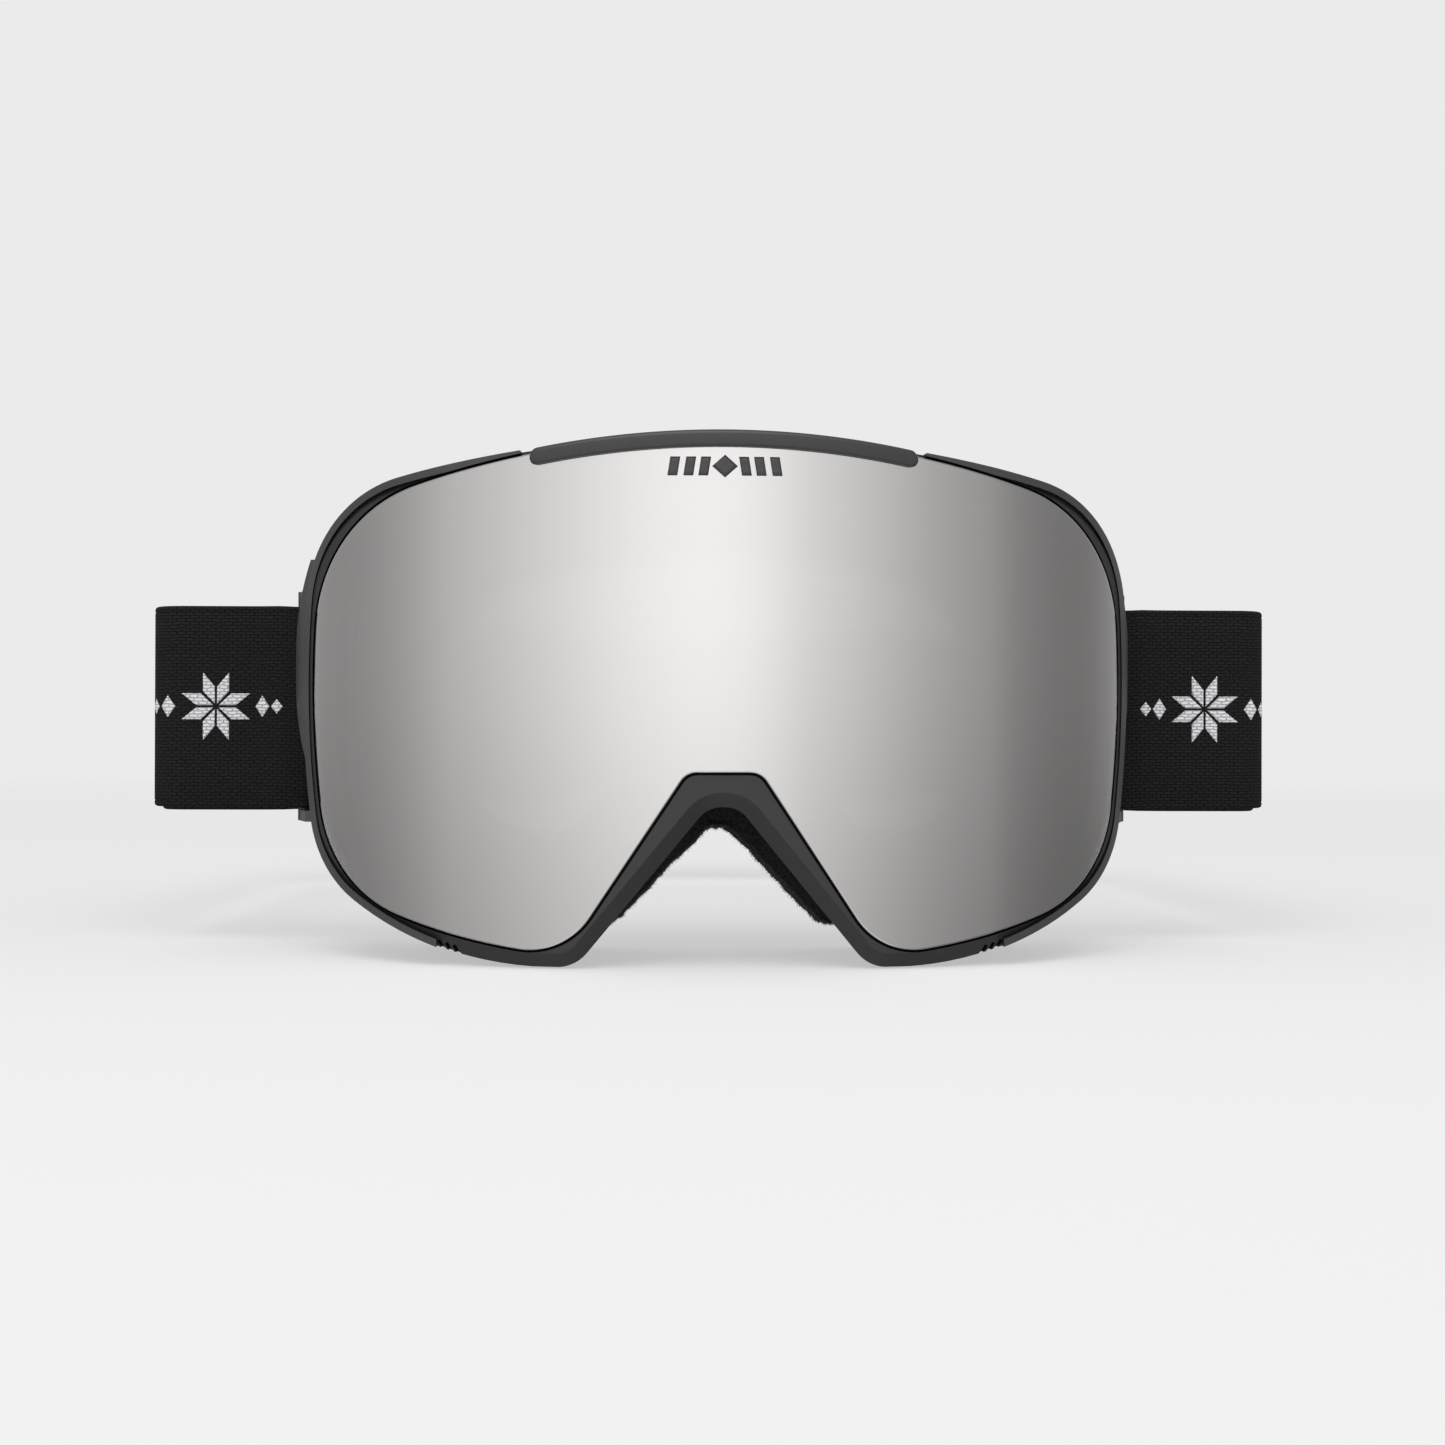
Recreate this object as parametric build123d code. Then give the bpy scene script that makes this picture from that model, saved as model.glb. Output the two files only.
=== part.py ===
from build123d import *
import os
from math import asin, atan, cos, degrees, hypot, sin, sqrt, tan

# Ski goggles: a cylindrical lens that magnets hold on a soft moulded frame, three layers of face
# padding, two hinged outriggers, and an elastic strap with two adjusters. Millimetres, +Z up.
# The lens looks along -Y and +X is on the right from the front. The origin is on the ground, under
# the middle of the whole part. Depths are counted backwards from the front of the lens.

# ---------------------------------------------------------------- driving dimensions
# outer lens, seen from the front
LENS_HALF_WIDTH = 86.5
LENS_SIDE_LEVEL = 57.5      # height of the widest place
LENS_SIDE_R = 190.0
LENS_TOP = 107.7
LENS_TOP_R = 218.0
LENS_BOTTOM = 2.5           # lowest point of the circle that the lower edge follows
LENS_BOTTOM_X = 24.0        # where that point is
LENS_BOTTOM_R = 130.0
LENS_TOP_CORNER_R = 32.0
LENS_BOTTOM_CORNER_R = 27.0
LENS_LOBE_R = 15.0
LENS_THICK = 1.5
# outer lens, seen from above: one flat arc, then a tighter one at each side, then straight
LENS_FRONT_TURN = 0.34375   # half width of the flat arc over its radius
LENS_SIDE_BEND = 31.5       # width that the tighter arc takes at each side
LENS_SIDE_BEND_R = 64.0
# nose notch of the lens
NOSE_TOP = 39.75
NOSE_TOP_HALF = 7.4
NOSE_SLOPE = 1.51           # drop over run of the notch's sides
NOSE_CORNER_R = 4.0
# frame
RIM_WIDTH = 2.9             # frame past the lens at each side
FRAME_OVER_LENS = 0.1       # top of the frame above the top of the lens
FRAME_TOP_R = 294.0
FRAME_SIDE_R = 200.0
FRAME_BOTTOM_SHARE = 0.3971 # lowest place of the frame, as a share of its half width
FRAME_BOTTOM_ROUND = 2.1127 # radius of the lower arc over the distance of that place from the middle
FRAME_TOP_CORNER_R = 28.0
FRAME_BOTTOM_CORNER_R = 24.0
FRAME_LOBE_R = 8.0
FRAME_NOSE_R = 6.0
NOSE_BAND = 7.0             # frame below the top of the lens's nose notch
FRAME_NOSE_HALF = 3.1
FRAME_NOSE_SLOPE = 1.22
BEVEL_WIDTH = 2.4           # bevel around the nose, seen from the front
BEVEL_DEPTH = 3.0
FOOT_FLAT = 0.06            # taken off the lowest arcs, so that the frame stands on two flats
FRAME_FRONT = 0.6           # the frame's front edge is this much behind the front of the lens
RING_DEPTH = 9.0            # front ring, from the front of the lens to its back
WALL = 2.0
WALL_INSET = 8.9            # side wall, inwards of the front ring
WALL_TOP_INSET = 3.8
WALL_BOTTOM_INSET = 5.0
FRAME_DEPTH = 28.0          # front of the lens to the back of the face flange
SEAT_WIDTH = 9.0            # ledge that the lens assembly sits on
# side rims
RIM_THICK = 1.5
RIM_FRONT = 0.3
RIM_DEPTH = 8.0
RIM_TOP_END = 41.3
RIM_BOTTOM_END = 58.5
# lens assembly
CARRIER_WIDTH = 6.0
CARRIER_BACK = 5.0          # depth of the carrier's back face
GASKET_WIDTH = 4.0
GASKET_BACK = 4.0
INNER_LENS_THICK = 0.8
LENS_GAP = 0.5              # around the lens, inside the frame's rim
SEAT_GAP = 0.3              # between the lens carrier and its seat
GLUE = 0.05                 # between pieces that are bonded
PULL_OFF = 30.0             # how far the lens assembly is drawn forwards
# brow grip
GRIP_HALF = 39.3
GRIP_OVER_LENS = 1.0
GRIP_R = 210.0
GRIP_HEIGHT = 3.4
GRIP_PROUD = 1.6
GRIP_CORNER_R = 1.3
# magnets
MAGNET_R = 2.4
MAGNET_THICK = 1.8
MAGNET_INSET = 3.2          # inwards of the lens edge
TOP_MAGNETS = (22.0, 49.0)
BOTTOM_MAGNETS = (46.0,)
# eye opening through the face flange and the padding
PORT_HALF = 56.0
PORT_TOP = 86.0
PORT_TOP_R = 160.0
PORT_SIDE_R = 110.0
PORT_LEVEL = 54.0
PORT_BOTTOM = 24.5
PORT_BOTTOM_X = 35.0
PORT_BOTTOM_R = 60.0
PORT_NOSE_TOP = 51.7
PORT_NOSE_HALF = 12.0
PORT_CORNER_R = 15.0
PORT_LOBE_R = 9.0
# face padding, front to back
FOAM_BASE = 8.0
FOAM_SOFT = 10.0
FLEECE = 2.0
FOAM_NOSE_TOP = 27.0
FOAM_NOSE_HALF = 1.7
FOAM_NOSE_R = 1.5
FOAM_NOSE_SLOPE = 1.03
FOAM_BASE_INSET = 1.0
# vents
TOP_VENTS = (-46.0, -23.0, 0.0, 23.0, 46.0)
BOTTOM_VENTS = (40.0, 60.0)
VENT_LENGTH = 16.0
VENT_FRONT = 12.0
VENT_BACK = 23.0
VENT_FOAM = 2.5
PINHOLE_R = 0.7
SIDE_MESH_THICK = 0.6
TOOTH_SLOT = 0.8
TOOTH_ANGLE = 30.0
# outriggers: arms that carry the strap, each on a vertical pin
PIN_R = 1.2
PIN_CLEAR = 0.05
PIN_OUT = 4.2               # pin, outwards of the frame's side wall
PIN_DEPTH = 55.0
KNUCKLE_R = 2.9
LUG_HEIGHT = 4.0
ARM_BOTTOM = 27.0
ARM_HEIGHT = 58.0
ARM_CLEAR = 0.4
ARM_THICK = 2.2
COVER_LEVEL = 61.0          # middle of the bulge on the arm's outer side
COVER_HEIGHT = 48.0
COVER_BULGE = 4.0
BAR_OUT = 7.2               # strap bar, outwards of the pin and behind it
BAR_BACK = 7.5
BAR_R = 1.5
SLOT_ROOM = 0.6             # strap slot, past each edge of the strap
LOOP_RAIL = 2.6             # rail above the slot
# strap
STRAP_WIDTH = 45.0
STRAP_LEVEL = 52.5
STRAP_THICK = 1.6
STRAP_SAG = 1.0             # degrees that the loop drops towards the back
LAYER_GAP = 0.3
STRAP_DEPTH = 239.0         # front of the lens to the strap's back run
FOLD_OUT = 34.5             # fold, outwards of the strap bar
FOLD_R = 7.0
BACK_CORNER_IN = 10.0       # back corner, inwards of the fold
BACK_CORNER_R = 38.0
STRAP_END_LENGTH = 6.0      # sewn end, outwards of the strap bar
SWING_ROOM = 6.5            # between that end and the loop, for the outrigger's swing
# strap adjusters
SLIDER_X = 50.0
SLIDER_LENGTH = 24.0
SLIDER_TRAVEL = 14.0
SLIDER_RAIL = 3.0
SLIDER_BAR = 4.0
SLIDER_SKIN = 1.4
SLIDER_CLEAR = 0.3
# silicone lines on the inside of the strap
BEAD_HALF = 22.0
BEAD_WIDTH = 2.0
BEAD_THICK = 0.5
BEAD_PITCH = 12.0

# ---------------------------------------------------------------- derived values
FRAME_HALF = LENS_HALF_WIDTH + RIM_WIDTH
FRAME_TOP = LENS_TOP + FRAME_OVER_LENS
FRAME_BOTTOM_X = FRAME_HALF * FRAME_BOTTOM_SHARE
FRAME_BOTTOM_R = FRAME_BOTTOM_X * FRAME_BOTTOM_ROUND
GRIP_TOP = LENS_TOP + GRIP_OVER_LENS
SEAT = CARRIER_BACK + SEAT_GAP
FRONT_HALF = LENS_HALF_WIDTH - LENS_SIDE_BEND
LENS_FRONT_R = FRONT_HALF / LENS_FRONT_TURN
BEND_START = asin(FRONT_HALF / LENS_FRONT_R)
BEND_X = FRONT_HALF - LENS_SIDE_BEND_R * sin(BEND_START)
BEND_Y = LENS_FRONT_R - (LENS_FRONT_R - LENS_SIDE_BEND_R) * cos(BEND_START)
BEND_END = asin((LENS_HALF_WIDTH - BEND_X) / LENS_SIDE_BEND_R)
WALL_HALF = FRAME_HALF - WALL_INSET
PIN_X = WALL_HALF + PIN_OUT
BAR_X = PIN_X + BAR_OUT
BAR_Y = PIN_DEPTH + BAR_BACK
FOLD_X = BAR_X + FOLD_OUT
STRAP_BOTTOM = STRAP_LEVEL - STRAP_WIDTH / 2
GRIP_FRONT = -GRIP_PROUD
CENTRE_Y = (GRIP_FRONT + STRAP_DEPTH + STRAP_THICK / 2 + SLIDER_CLEAR + SLIDER_SKIN) / 2
TALL = 400.0                # longer than anything, for cutting tools

ALL = []


def keep(name, shape):
    """Move a finished piece from depths to the part's own frame and write it out."""
    placed = Pos(0, -CENTRE_Y, 0) * shape
    ALL.append(placed)
    export_step(placed, "parts/" + name + ".step")


def mirrored(shape):
    """The same piece on the other side of the part."""
    return mirror(shape, about=Plane.YZ)


# ---------------------------------------------------------------- outlines, seen from the front
def outline(grow, top, half, level, bottom, notch, corners):
    """A goggle outline: an arc over the top, one down each side, one under each eye, and a nose
    notch with a level top and straight sides. top and half are (place, radius), bottom is (height,
    distance from the middle, radius), notch is (top, half width of its top, slope) and corners are
    the radii of top corner, bottom corner, lobe and notch. It can grow square to itself."""
    top_r = top[1] + grow
    side_r = half[1] + grow
    bottom_r = bottom[2] + grow
    notch_top = notch[0] - grow
    slope = notch[2]
    notch_half = notch[1] + grow / slope - grow / cos(atan(1 / slope))
    top_corner, bottom_corner, lobe, notch_corner = corners
    radii = (lobe + grow, bottom_corner + grow, max(notch_corner - grow, 0.4), top_corner + grow)
    halves = []
    for side in (1, -1):
        above = Pos(0, top[0] - top[1]) * Circle(top_r)
        beside = Pos(side * (half[0] - half[1]), level) * Circle(side_r)
        under = Pos(side * bottom[1], bottom[0] + bottom[2]) * Circle(bottom_r)
        foot = (side * (notch_half + TALL / slope), notch_top - TALL)
        far = side * TALL * 2
        over = Polygon((0, notch_top), (side * notch_half, notch_top), foot, (far, -TALL), (far, TALL),
                       (0, TALL), align=None)
        face = (above & beside & under & over).faces()[0]
        low_to_high = sorted((v for v in face.vertices() if abs(v.X) > 0.01), key=lambda v: v.Y)
        lower = sorted(low_to_high[:2], key=lambda v: abs(v.X))
        upper = sorted(low_to_high[2:], key=lambda v: abs(v.X))
        for radius, vertex in zip(radii, lower + upper):
            here = min(face.vertices(), key=lambda v: hypot(v.X - vertex.X, v.Y - vertex.Y))
            face = face.fillet_2d(radius, [here])
        halves.append(face if face.normal_at().Z > 0 else -face)
    return Sketch() + halves


def nose_line(inset=0.0):
    """Notch of the frame, moved this far into the frame square to itself."""
    lean = atan(1 / FRAME_NOSE_SLOPE)
    half = FRAME_NOSE_HALF - inset / FRAME_NOSE_SLOPE + inset / cos(lean)
    return (NOSE_TOP - NOSE_BAND + inset, half, FRAME_NOSE_SLOPE)


def lens_outline(grow=0.0):
    return outline(grow, (LENS_TOP, LENS_TOP_R), (LENS_HALF_WIDTH, LENS_SIDE_R), LENS_SIDE_LEVEL,
                   (LENS_BOTTOM, LENS_BOTTOM_X, LENS_BOTTOM_R), (NOSE_TOP, NOSE_TOP_HALF, NOSE_SLOPE),
                   (LENS_TOP_CORNER_R, LENS_BOTTOM_CORNER_R, LENS_LOBE_R, NOSE_CORNER_R))


def frame_outline(grow=0.0):
    return outline(grow, (FRAME_TOP, FRAME_TOP_R), (FRAME_HALF, FRAME_SIDE_R), LENS_SIDE_LEVEL,
                   (-FOOT_FLAT, FRAME_BOTTOM_X, FRAME_BOTTOM_R), nose_line(),
                   (FRAME_TOP_CORNER_R, FRAME_BOTTOM_CORNER_R, FRAME_LOBE_R, FRAME_NOSE_R))


def wall_outline(grow=0.0, notch=None, notch_corner=FRAME_NOSE_R):
    return outline(grow, (FRAME_TOP - WALL_TOP_INSET, FRAME_TOP_R), (WALL_HALF, FRAME_SIDE_R),
                   LENS_SIDE_LEVEL, (WALL_BOTTOM_INSET, FRAME_BOTTOM_X, FRAME_BOTTOM_R),
                   notch or nose_line(WALL / 2),
                   (FRAME_TOP_CORNER_R, FRAME_BOTTOM_CORNER_R, FRAME_LOBE_R, notch_corner))


def foam_outline(inset=0.0):
    return wall_outline(-inset, (FOAM_NOSE_TOP, FOAM_NOSE_HALF, FOAM_NOSE_SLOPE), FOAM_NOSE_R)


def port_outline():
    return outline(0.0, (PORT_TOP, PORT_TOP_R), (PORT_HALF, PORT_SIDE_R), PORT_LEVEL,
                   (PORT_BOTTOM, PORT_BOTTOM_X, PORT_BOTTOM_R), (PORT_NOSE_TOP, PORT_NOSE_HALF, NOSE_SLOPE),
                   (PORT_CORNER_R, PORT_CORNER_R, PORT_LOBE_R, FRAME_NOSE_R))


# ---------------------------------------------------------------- curved layers
def plan_points(inwards, back):
    """Right half of the lens's curve from above, moved inwards square to it and then straight back:
    its middle, the start, middle and end of the tighter arc, and the far end of the straight part."""
    r = LENS_SIDE_BEND_R - inwards
    arc = [(BEND_X + r * sin(a), BEND_Y - r * cos(a) + back)
           for a in (BEND_START, (BEND_START + BEND_END) / 2, BEND_END)]
    reach = 30.0
    far = (arc[2][0] + reach * cos(BEND_END), arc[2][1] + reach * sin(BEND_END))
    return [(0, inwards + back)] + arc + [far]


def plan_curve(inwards, back):
    """The whole curve from its left end to its right end, as five edges."""
    middle, start, half_way, end, far = plan_points(inwards, back)

    def left(point):
        return (-point[0], point[1])

    return [Line(left(far), left(end)), ThreePointArc(left(end), left(half_way), left(start)),
            ThreePointArc(left(start), middle, start), ThreePointArc(start, half_way, end),
            Line(end, far)]


def layer(face, front, back):
    """The slice of an outline between two curves of the lens. Each is (inwards, straight back)."""
    near = plan_curve(*front)
    far = plan_curve(*back)
    sides = [Line(near[4] @ 1, far[4] @ 1), Line(near[0] @ 0, far[0] @ 0)]
    plan = make_face(near + far + sides)
    slab = extrude(Pos(0, 0, -TALL / 2) * plan, TALL, dir=(0, 0, 1))
    prism = extrude(Plane.XZ * Pos(0, 0, TALL / 4) * face, TALL / 2, dir=(0, 1, 0))
    return prism & slab


def curve_depth(x):
    """Depth of the front of the lens at a distance from the middle."""
    x = abs(x)
    if x <= FRONT_HALF:
        return LENS_FRONT_R - sqrt(LENS_FRONT_R ** 2 - x ** 2)
    if x <= LENS_HALF_WIDTH:
        return BEND_Y - sqrt(LENS_SIDE_BEND_R ** 2 - (x - BEND_X) ** 2)
    return BEND_Y - LENS_SIDE_BEND_R * cos(BEND_END) + (x - LENS_HALF_WIDTH) * tan(BEND_END)


def on_curve(x, z, inwards):
    """A place on the flat arc of the lens, its own Z axis pointing out of the lens."""
    turn = asin(x / LENS_FRONT_R)
    r = LENS_FRONT_R - inwards
    return Pos(r * sin(turn), LENS_FRONT_R - r * cos(turn), z) * Rot(0, 0, degrees(turn)) * Rot(90, 0, 0)


def block(x0, x1, y0, y1, z0, z1):
    """A box between two corners."""
    return Pos((x0 + x1) / 2, (y0 + y1) / 2, (z0 + z1) / 2) * Box(x1 - x0, y1 - y0, z1 - z0)


def rectangle(x0, x1, z0, z1):
    """A rectangle of an outline, seen from the front."""
    return Pos((x0 + x1) / 2, (z0 + z1) / 2) * Rectangle(x1 - x0, z1 - z0)


# ---------------------------------------------------------------- magnets
def magnet_places():
    """Distance from the middle and height of each magnet pair."""
    for x in TOP_MAGNETS:
        z = LENS_TOP - LENS_TOP_R + sqrt(LENS_TOP_R ** 2 - x ** 2) - MAGNET_INSET
        yield from ((x, z), (-x, z))
    for x in BOTTOM_MAGNETS:
        z = LENS_BOTTOM + LENS_BOTTOM_R - sqrt(LENS_BOTTOM_R ** 2 - (x - LENS_BOTTOM_X) ** 2) + MAGNET_INSET
        yield from ((x, z), (-x, z))


def magnets(depth, grow=0.0):
    """A disc in each place, its front face at this depth."""
    disc = Cylinder(MAGNET_R + grow, MAGNET_THICK + 2 * grow)
    middle = depth + MAGNET_THICK / 2
    return Compound([on_curve(x, z, middle) * disc for x, z in magnet_places()])


# ---------------------------------------------------------------- frame
def rim_zone(spare=0.0):
    """Where the right side rim is, seen from the front: from its top end round to its lower end."""
    upper = rectangle(RIM_TOP_END - spare, TALL, LENS_SIDE_LEVEL - 1, TALL)
    return upper + rectangle(RIM_BOTTOM_END - spare, TALL, -TALL, LENS_SIDE_LEVEL)


def make_side_rim():
    ring = frame_outline() - frame_outline(-RIM_THICK) - lens_outline(LENS_GAP)
    rim = layer(ring & rim_zone(), (RIM_FRONT, 0), (0, RIM_DEPTH))
    return max(rim.solids(), key=lambda solid: solid.volume)


def side_lugs():
    """Two ears on the right side wall that hold the hinge pin, above and below the arm."""
    ears = []
    for z in (ARM_BOTTOM, ARM_BOTTOM + ARM_HEIGHT - LUG_HEIGHT):
        level = z + LUG_HEIGHT / 2
        eye = Pos(PIN_X, PIN_DEPTH, level) * Cylinder(KNUCKLE_R, LUG_HEIGHT)
        web = block(PORT_HALF, PIN_X, PIN_DEPTH - KNUCKLE_R, PIN_DEPTH + KNUCKLE_R, z, z + LUG_HEIGHT)
        ears += [eye, web]
    bore = Pos(PIN_X, PIN_DEPTH, LENS_SIDE_LEVEL) * Cylinder(PIN_R, TALL)
    inside = layer(wall_outline(-WALL), (0, 0), (0, FRAME_DEPTH - WALL))
    behind = layer(wall_outline(GLUE), (0, FRAME_DEPTH), (0, TALL / 8))
    return Part() + ears - bore - inside - behind


def vent_slots():
    """Slots through the top wall and the two lower walls."""
    faces = [rectangle(x - VENT_LENGTH / 2, x + VENT_LENGTH / 2, PORT_TOP, TALL / 2) for x in TOP_VENTS]
    for x in BOTTOM_VENTS:
        for side in (-1, 1):
            faces.append(rectangle(side * x - VENT_LENGTH / 2, side * x + VENT_LENGTH / 2, -TALL / 2,
                                   PORT_BOTTOM))
    return layer(Sketch() + faces, (0, VENT_FRONT), (0, VENT_BACK))


def tooth_slots():
    """Three slanted slits under each lower corner of the lens, beside the end of the side rim."""
    slots = []
    for i in range(3):
        x = RIM_BOTTOM_END - 1.4 - 2 * TOOTH_SLOT * i
        z = curve_bottom(x)
        cut = Pos(x, z) * Rot(0, 0, -TOOTH_ANGLE) * Rectangle(TOOTH_SLOT, 4.0)
        slots += [cut, mirror(cut, about=Plane.YZ)]
    return layer(Sketch() + slots, (-2, 0), (0, SEAT))


def curve_bottom(x):
    """Height of the frame's lower edge at a distance from the middle."""
    return -FOOT_FLAT + FRAME_BOTTOM_R - sqrt(FRAME_BOTTOM_R ** 2 - (x - FRAME_BOTTOM_X) ** 2)


def pinholes():
    """A curved row of small holes through the face flange at each side."""
    out = (PORT_HALF + WALL_HALF) / 2 + 8.0
    holes = []
    for step in range(-4, 5):
        x = out - 0.18 * step ** 2
        z = LENS_SIDE_LEVEL + 5.2 * step
        hole = Pos(x, z) * Circle(PINHOLE_R)
        holes += [hole, mirror(hole, about=Plane.YZ)]
    return layer(Sketch() + holes, (0, FRAME_DEPTH - WALL - 1), (0, FRAME_DEPTH + 1))


def nose_edges(ring):
    """Front edges of the ring around the nose notch, down to its lobes."""
    top, half, slope = nose_line()
    found = []
    for edge in ring.edges():
        middle = edge @ 0.5
        at_front = abs(middle.Y - curve_depth(middle.X) - FRAME_FRONT) < 0.3
        in_notch = abs(middle.X) < half + (top - middle.Z) / slope + 1.0 and middle.Z < top + 0.5
        if at_front and in_notch:
            found.append(edge)
    return found


def make_frame():
    ring = layer(frame_outline() - lens_outline(-SEAT_WIDTH), (FRAME_FRONT, 0), (0, RING_DEPTH))
    ring = chamfer(nose_edges(ring), BEVEL_WIDTH, BEVEL_DEPTH)
    ring -= layer(lens_outline(LENS_GAP), (-5, 0), (SEAT, 0))
    grip_room = RIM_TOP_END - 0.1
    ring -= layer(rectangle(-grip_room, grip_room, PORT_TOP, TALL), (-5, 0), (SEAT, 0))
    for zone in (rim_zone(GLUE), mirror(rim_zone(GLUE), about=Plane.YZ)):
        ring -= layer((frame_outline(1) - frame_outline(-RIM_THICK - GLUE)) & zone, (-5, 0),
                      (0, RIM_DEPTH + GLUE))
    wall = layer(wall_outline() - wall_outline(-WALL), (0, RING_DEPTH - 1), (0, FRAME_DEPTH))
    flange = layer(wall_outline() - port_outline(), (0, FRAME_DEPTH - WALL), (0, FRAME_DEPTH))
    frame = ring + wall + flange
    frame -= vent_slots() + tooth_slots() + pinholes()
    frame -= magnets(SEAT, GLUE)
    frame += side_lugs() + mirrored(side_lugs())
    frame -= block(-TALL, TALL, -TALL, TALL, -TALL, 0)
    return frame


# ---------------------------------------------------------------- padding and vent foam
def make_padding():
    """Dense foam, soft foam and fleece, each from the last one's back, as (name, solid)."""
    depth = FRAME_DEPTH
    for name, thick, inset in (("face_foam_base", FOAM_BASE, FOAM_BASE_INSET),
                               ("face_foam_soft", FOAM_SOFT, 0.0), ("face_fleece", FLEECE, 0.0)):
        face = foam_outline(inset) - port_outline()
        yield name, layer(face, (0, depth + GLUE), (0, depth + thick))
        depth += thick


def vent_foam(x0, x1, z0, z1):
    """A strip of open foam inside the frame's wall, behind a row of slots."""
    strip = wall_outline(-WALL - GLUE) - wall_outline(-WALL - GLUE - VENT_FOAM)
    return layer(strip & rectangle(x0, x1, z0, z1), (0, RING_DEPTH + GLUE),
                 (0, FRAME_DEPTH - WALL - GLUE))


def side_mesh():
    """A thin mesh on the front of the face flange, over the right row of pinholes."""
    out = (PORT_HALF + WALL_HALF) / 2 + 8.0
    back = FRAME_DEPTH - WALL - GLUE
    face = rectangle(out - 6, out + 2.5, LENS_SIDE_LEVEL - 25, LENS_SIDE_LEVEL + 25) \
        & wall_outline(-WALL - 2 * GLUE)
    return layer(face, (0, back - SIDE_MESH_THICK), (0, back))


# ---------------------------------------------------------------- lens assembly
def make_lens_assembly():
    """Everything that comes away with the lens, as (name, solid)."""
    gasket_out = -CARRIER_WIDTH - GLUE
    carrier_face = lens_outline(-SEAT_GAP) - lens_outline(-CARRIER_WIDTH)
    carrier = layer(carrier_face, (LENS_THICK + GLUE, 0), (CARRIER_BACK, 0))
    plates = magnets(CARRIER_BACK - MAGNET_THICK)
    carrier -= magnets(CARRIER_BACK - MAGNET_THICK, GLUE)
    yield "outer_lens", layer(lens_outline(), (0, 0), (LENS_THICK, 0))
    yield "lens_carrier", carrier
    yield "lens_plates", plates
    gasket_face = lens_outline(gasket_out) - lens_outline(gasket_out - GASKET_WIDTH)
    yield "lens_gasket", layer(gasket_face, (LENS_THICK + GLUE, 0), (GASKET_BACK, 0))
    yield "inner_lens", layer(lens_outline(gasket_out), (GASKET_BACK + GLUE, 0),
                              (GASKET_BACK + GLUE + INNER_LENS_THICK, 0))
    yield "brow_grip", make_brow_grip()


def make_brow_grip():
    """Finger grip over the top edge of the lens: a lip in front of it and a web above it."""
    upper = Pos(0, GRIP_TOP - GRIP_R) * Circle(GRIP_R)
    lower = Pos(0, GRIP_TOP - GRIP_HEIGHT - GRIP_R) * Circle(GRIP_R)
    bar = (upper - lower) & rectangle(-GRIP_HALF, GRIP_HALF, PORT_TOP, TALL)
    bar = Sketch() + bar.faces()[0].fillet_2d(GRIP_CORNER_R, bar.vertices())
    grip = layer(bar, (-GRIP_PROUD, 0), (CARRIER_BACK, 0))
    return grip - layer(lens_outline(GLUE), (-GLUE, 0), (SEAT + 5, 0))


# ---------------------------------------------------------------- outriggers
def make_outrigger():
    """Right arm: a knuckle on the pin, a cover that bulges outwards, and a loop with the strap bar."""
    low = ARM_BOTTOM + LUG_HEIGHT + ARM_CLEAR
    high = ARM_BOTTOM + ARM_HEIGHT - LUG_HEIGHT - ARM_CLEAR
    knuckle = Pos(PIN_X, PIN_DEPTH, (low + high) / 2) * Cylinder(KNUCKLE_R, high - low)
    near_pin = Pos(PIN_X, PIN_DEPTH, 0) * Cylinder(KNUCKLE_R + ARM_CLEAR, TALL)
    near_pin -= block(0, TALL, 0, TALL, low, high)
    cover = raised(cover_face(), ARM_BOTTOM, ARM_HEIGHT) & bulge()
    loop = Polygon((PIN_X, PIN_DEPTH - 1), (BAR_X - 1, PIN_DEPTH), (BAR_X + BAR_R - 0.2, BAR_Y),
                   (BAR_X - BAR_R + 0.2, BAR_Y), (PIN_X, PIN_DEPTH + 2), align=None)
    slot_half = STRAP_WIDTH / 2 + SLOT_ROOM
    loop_height = STRAP_LEVEL + slot_half + LOOP_RAIL - ARM_BOTTOM
    rails = raised(loop, ARM_BOTTOM, loop_height)
    rails -= block(0, TALL, 0, TALL, STRAP_LEVEL - slot_half, STRAP_LEVEL + slot_half)
    bar = Pos(BAR_X, BAR_Y, ARM_BOTTOM + loop_height / 2) * Cylinder(BAR_R, loop_height)
    bore = Pos(PIN_X, PIN_DEPTH, STRAP_LEVEL) * Cylinder(PIN_R + PIN_CLEAR, TALL)
    return (cover + rails + bar - near_pin) + knuckle - bore


def cover_face():
    """Plan of the arm's cover: a crescent from the knuckle out to just before the strap."""
    end_y = BAR_Y - BAR_R - GLUE - STRAP_THICK - LAYER_GAP
    outer_x = BAR_X + BAR_R
    start = (PIN_X, PIN_DEPTH - KNUCKLE_R + 0.3)
    outer = ThreePointArc(start, (BAR_X, PIN_DEPTH - 0.4), (outer_x, end_y))
    end = Line((outer_x, end_y), (outer_x - ARM_THICK, end_y))
    inner = ThreePointArc((outer_x - ARM_THICK, end_y), (BAR_X - 2.6, PIN_DEPTH + 0.8), (PIN_X, PIN_DEPTH))
    return make_face([outer, end, inner, Line((PIN_X, PIN_DEPTH), start)])


def bulge():
    """Everything inside a wide circle that gives the arm's outer side its bulge."""
    radius = (COVER_HEIGHT ** 2 / 4 + COVER_BULGE ** 2) / (2 * COVER_BULGE)
    centre = Pos(BAR_X + BAR_R - radius, PIN_DEPTH, COVER_LEVEL)
    return centre * Rot(90, 0, 0) * Cylinder(radius, TALL / 4)


def raised(face, z, height):
    """A plan face made solid from one height upwards."""
    return extrude(Pos(0, 0, z) * face, height, dir=(0, 0, 1))


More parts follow.
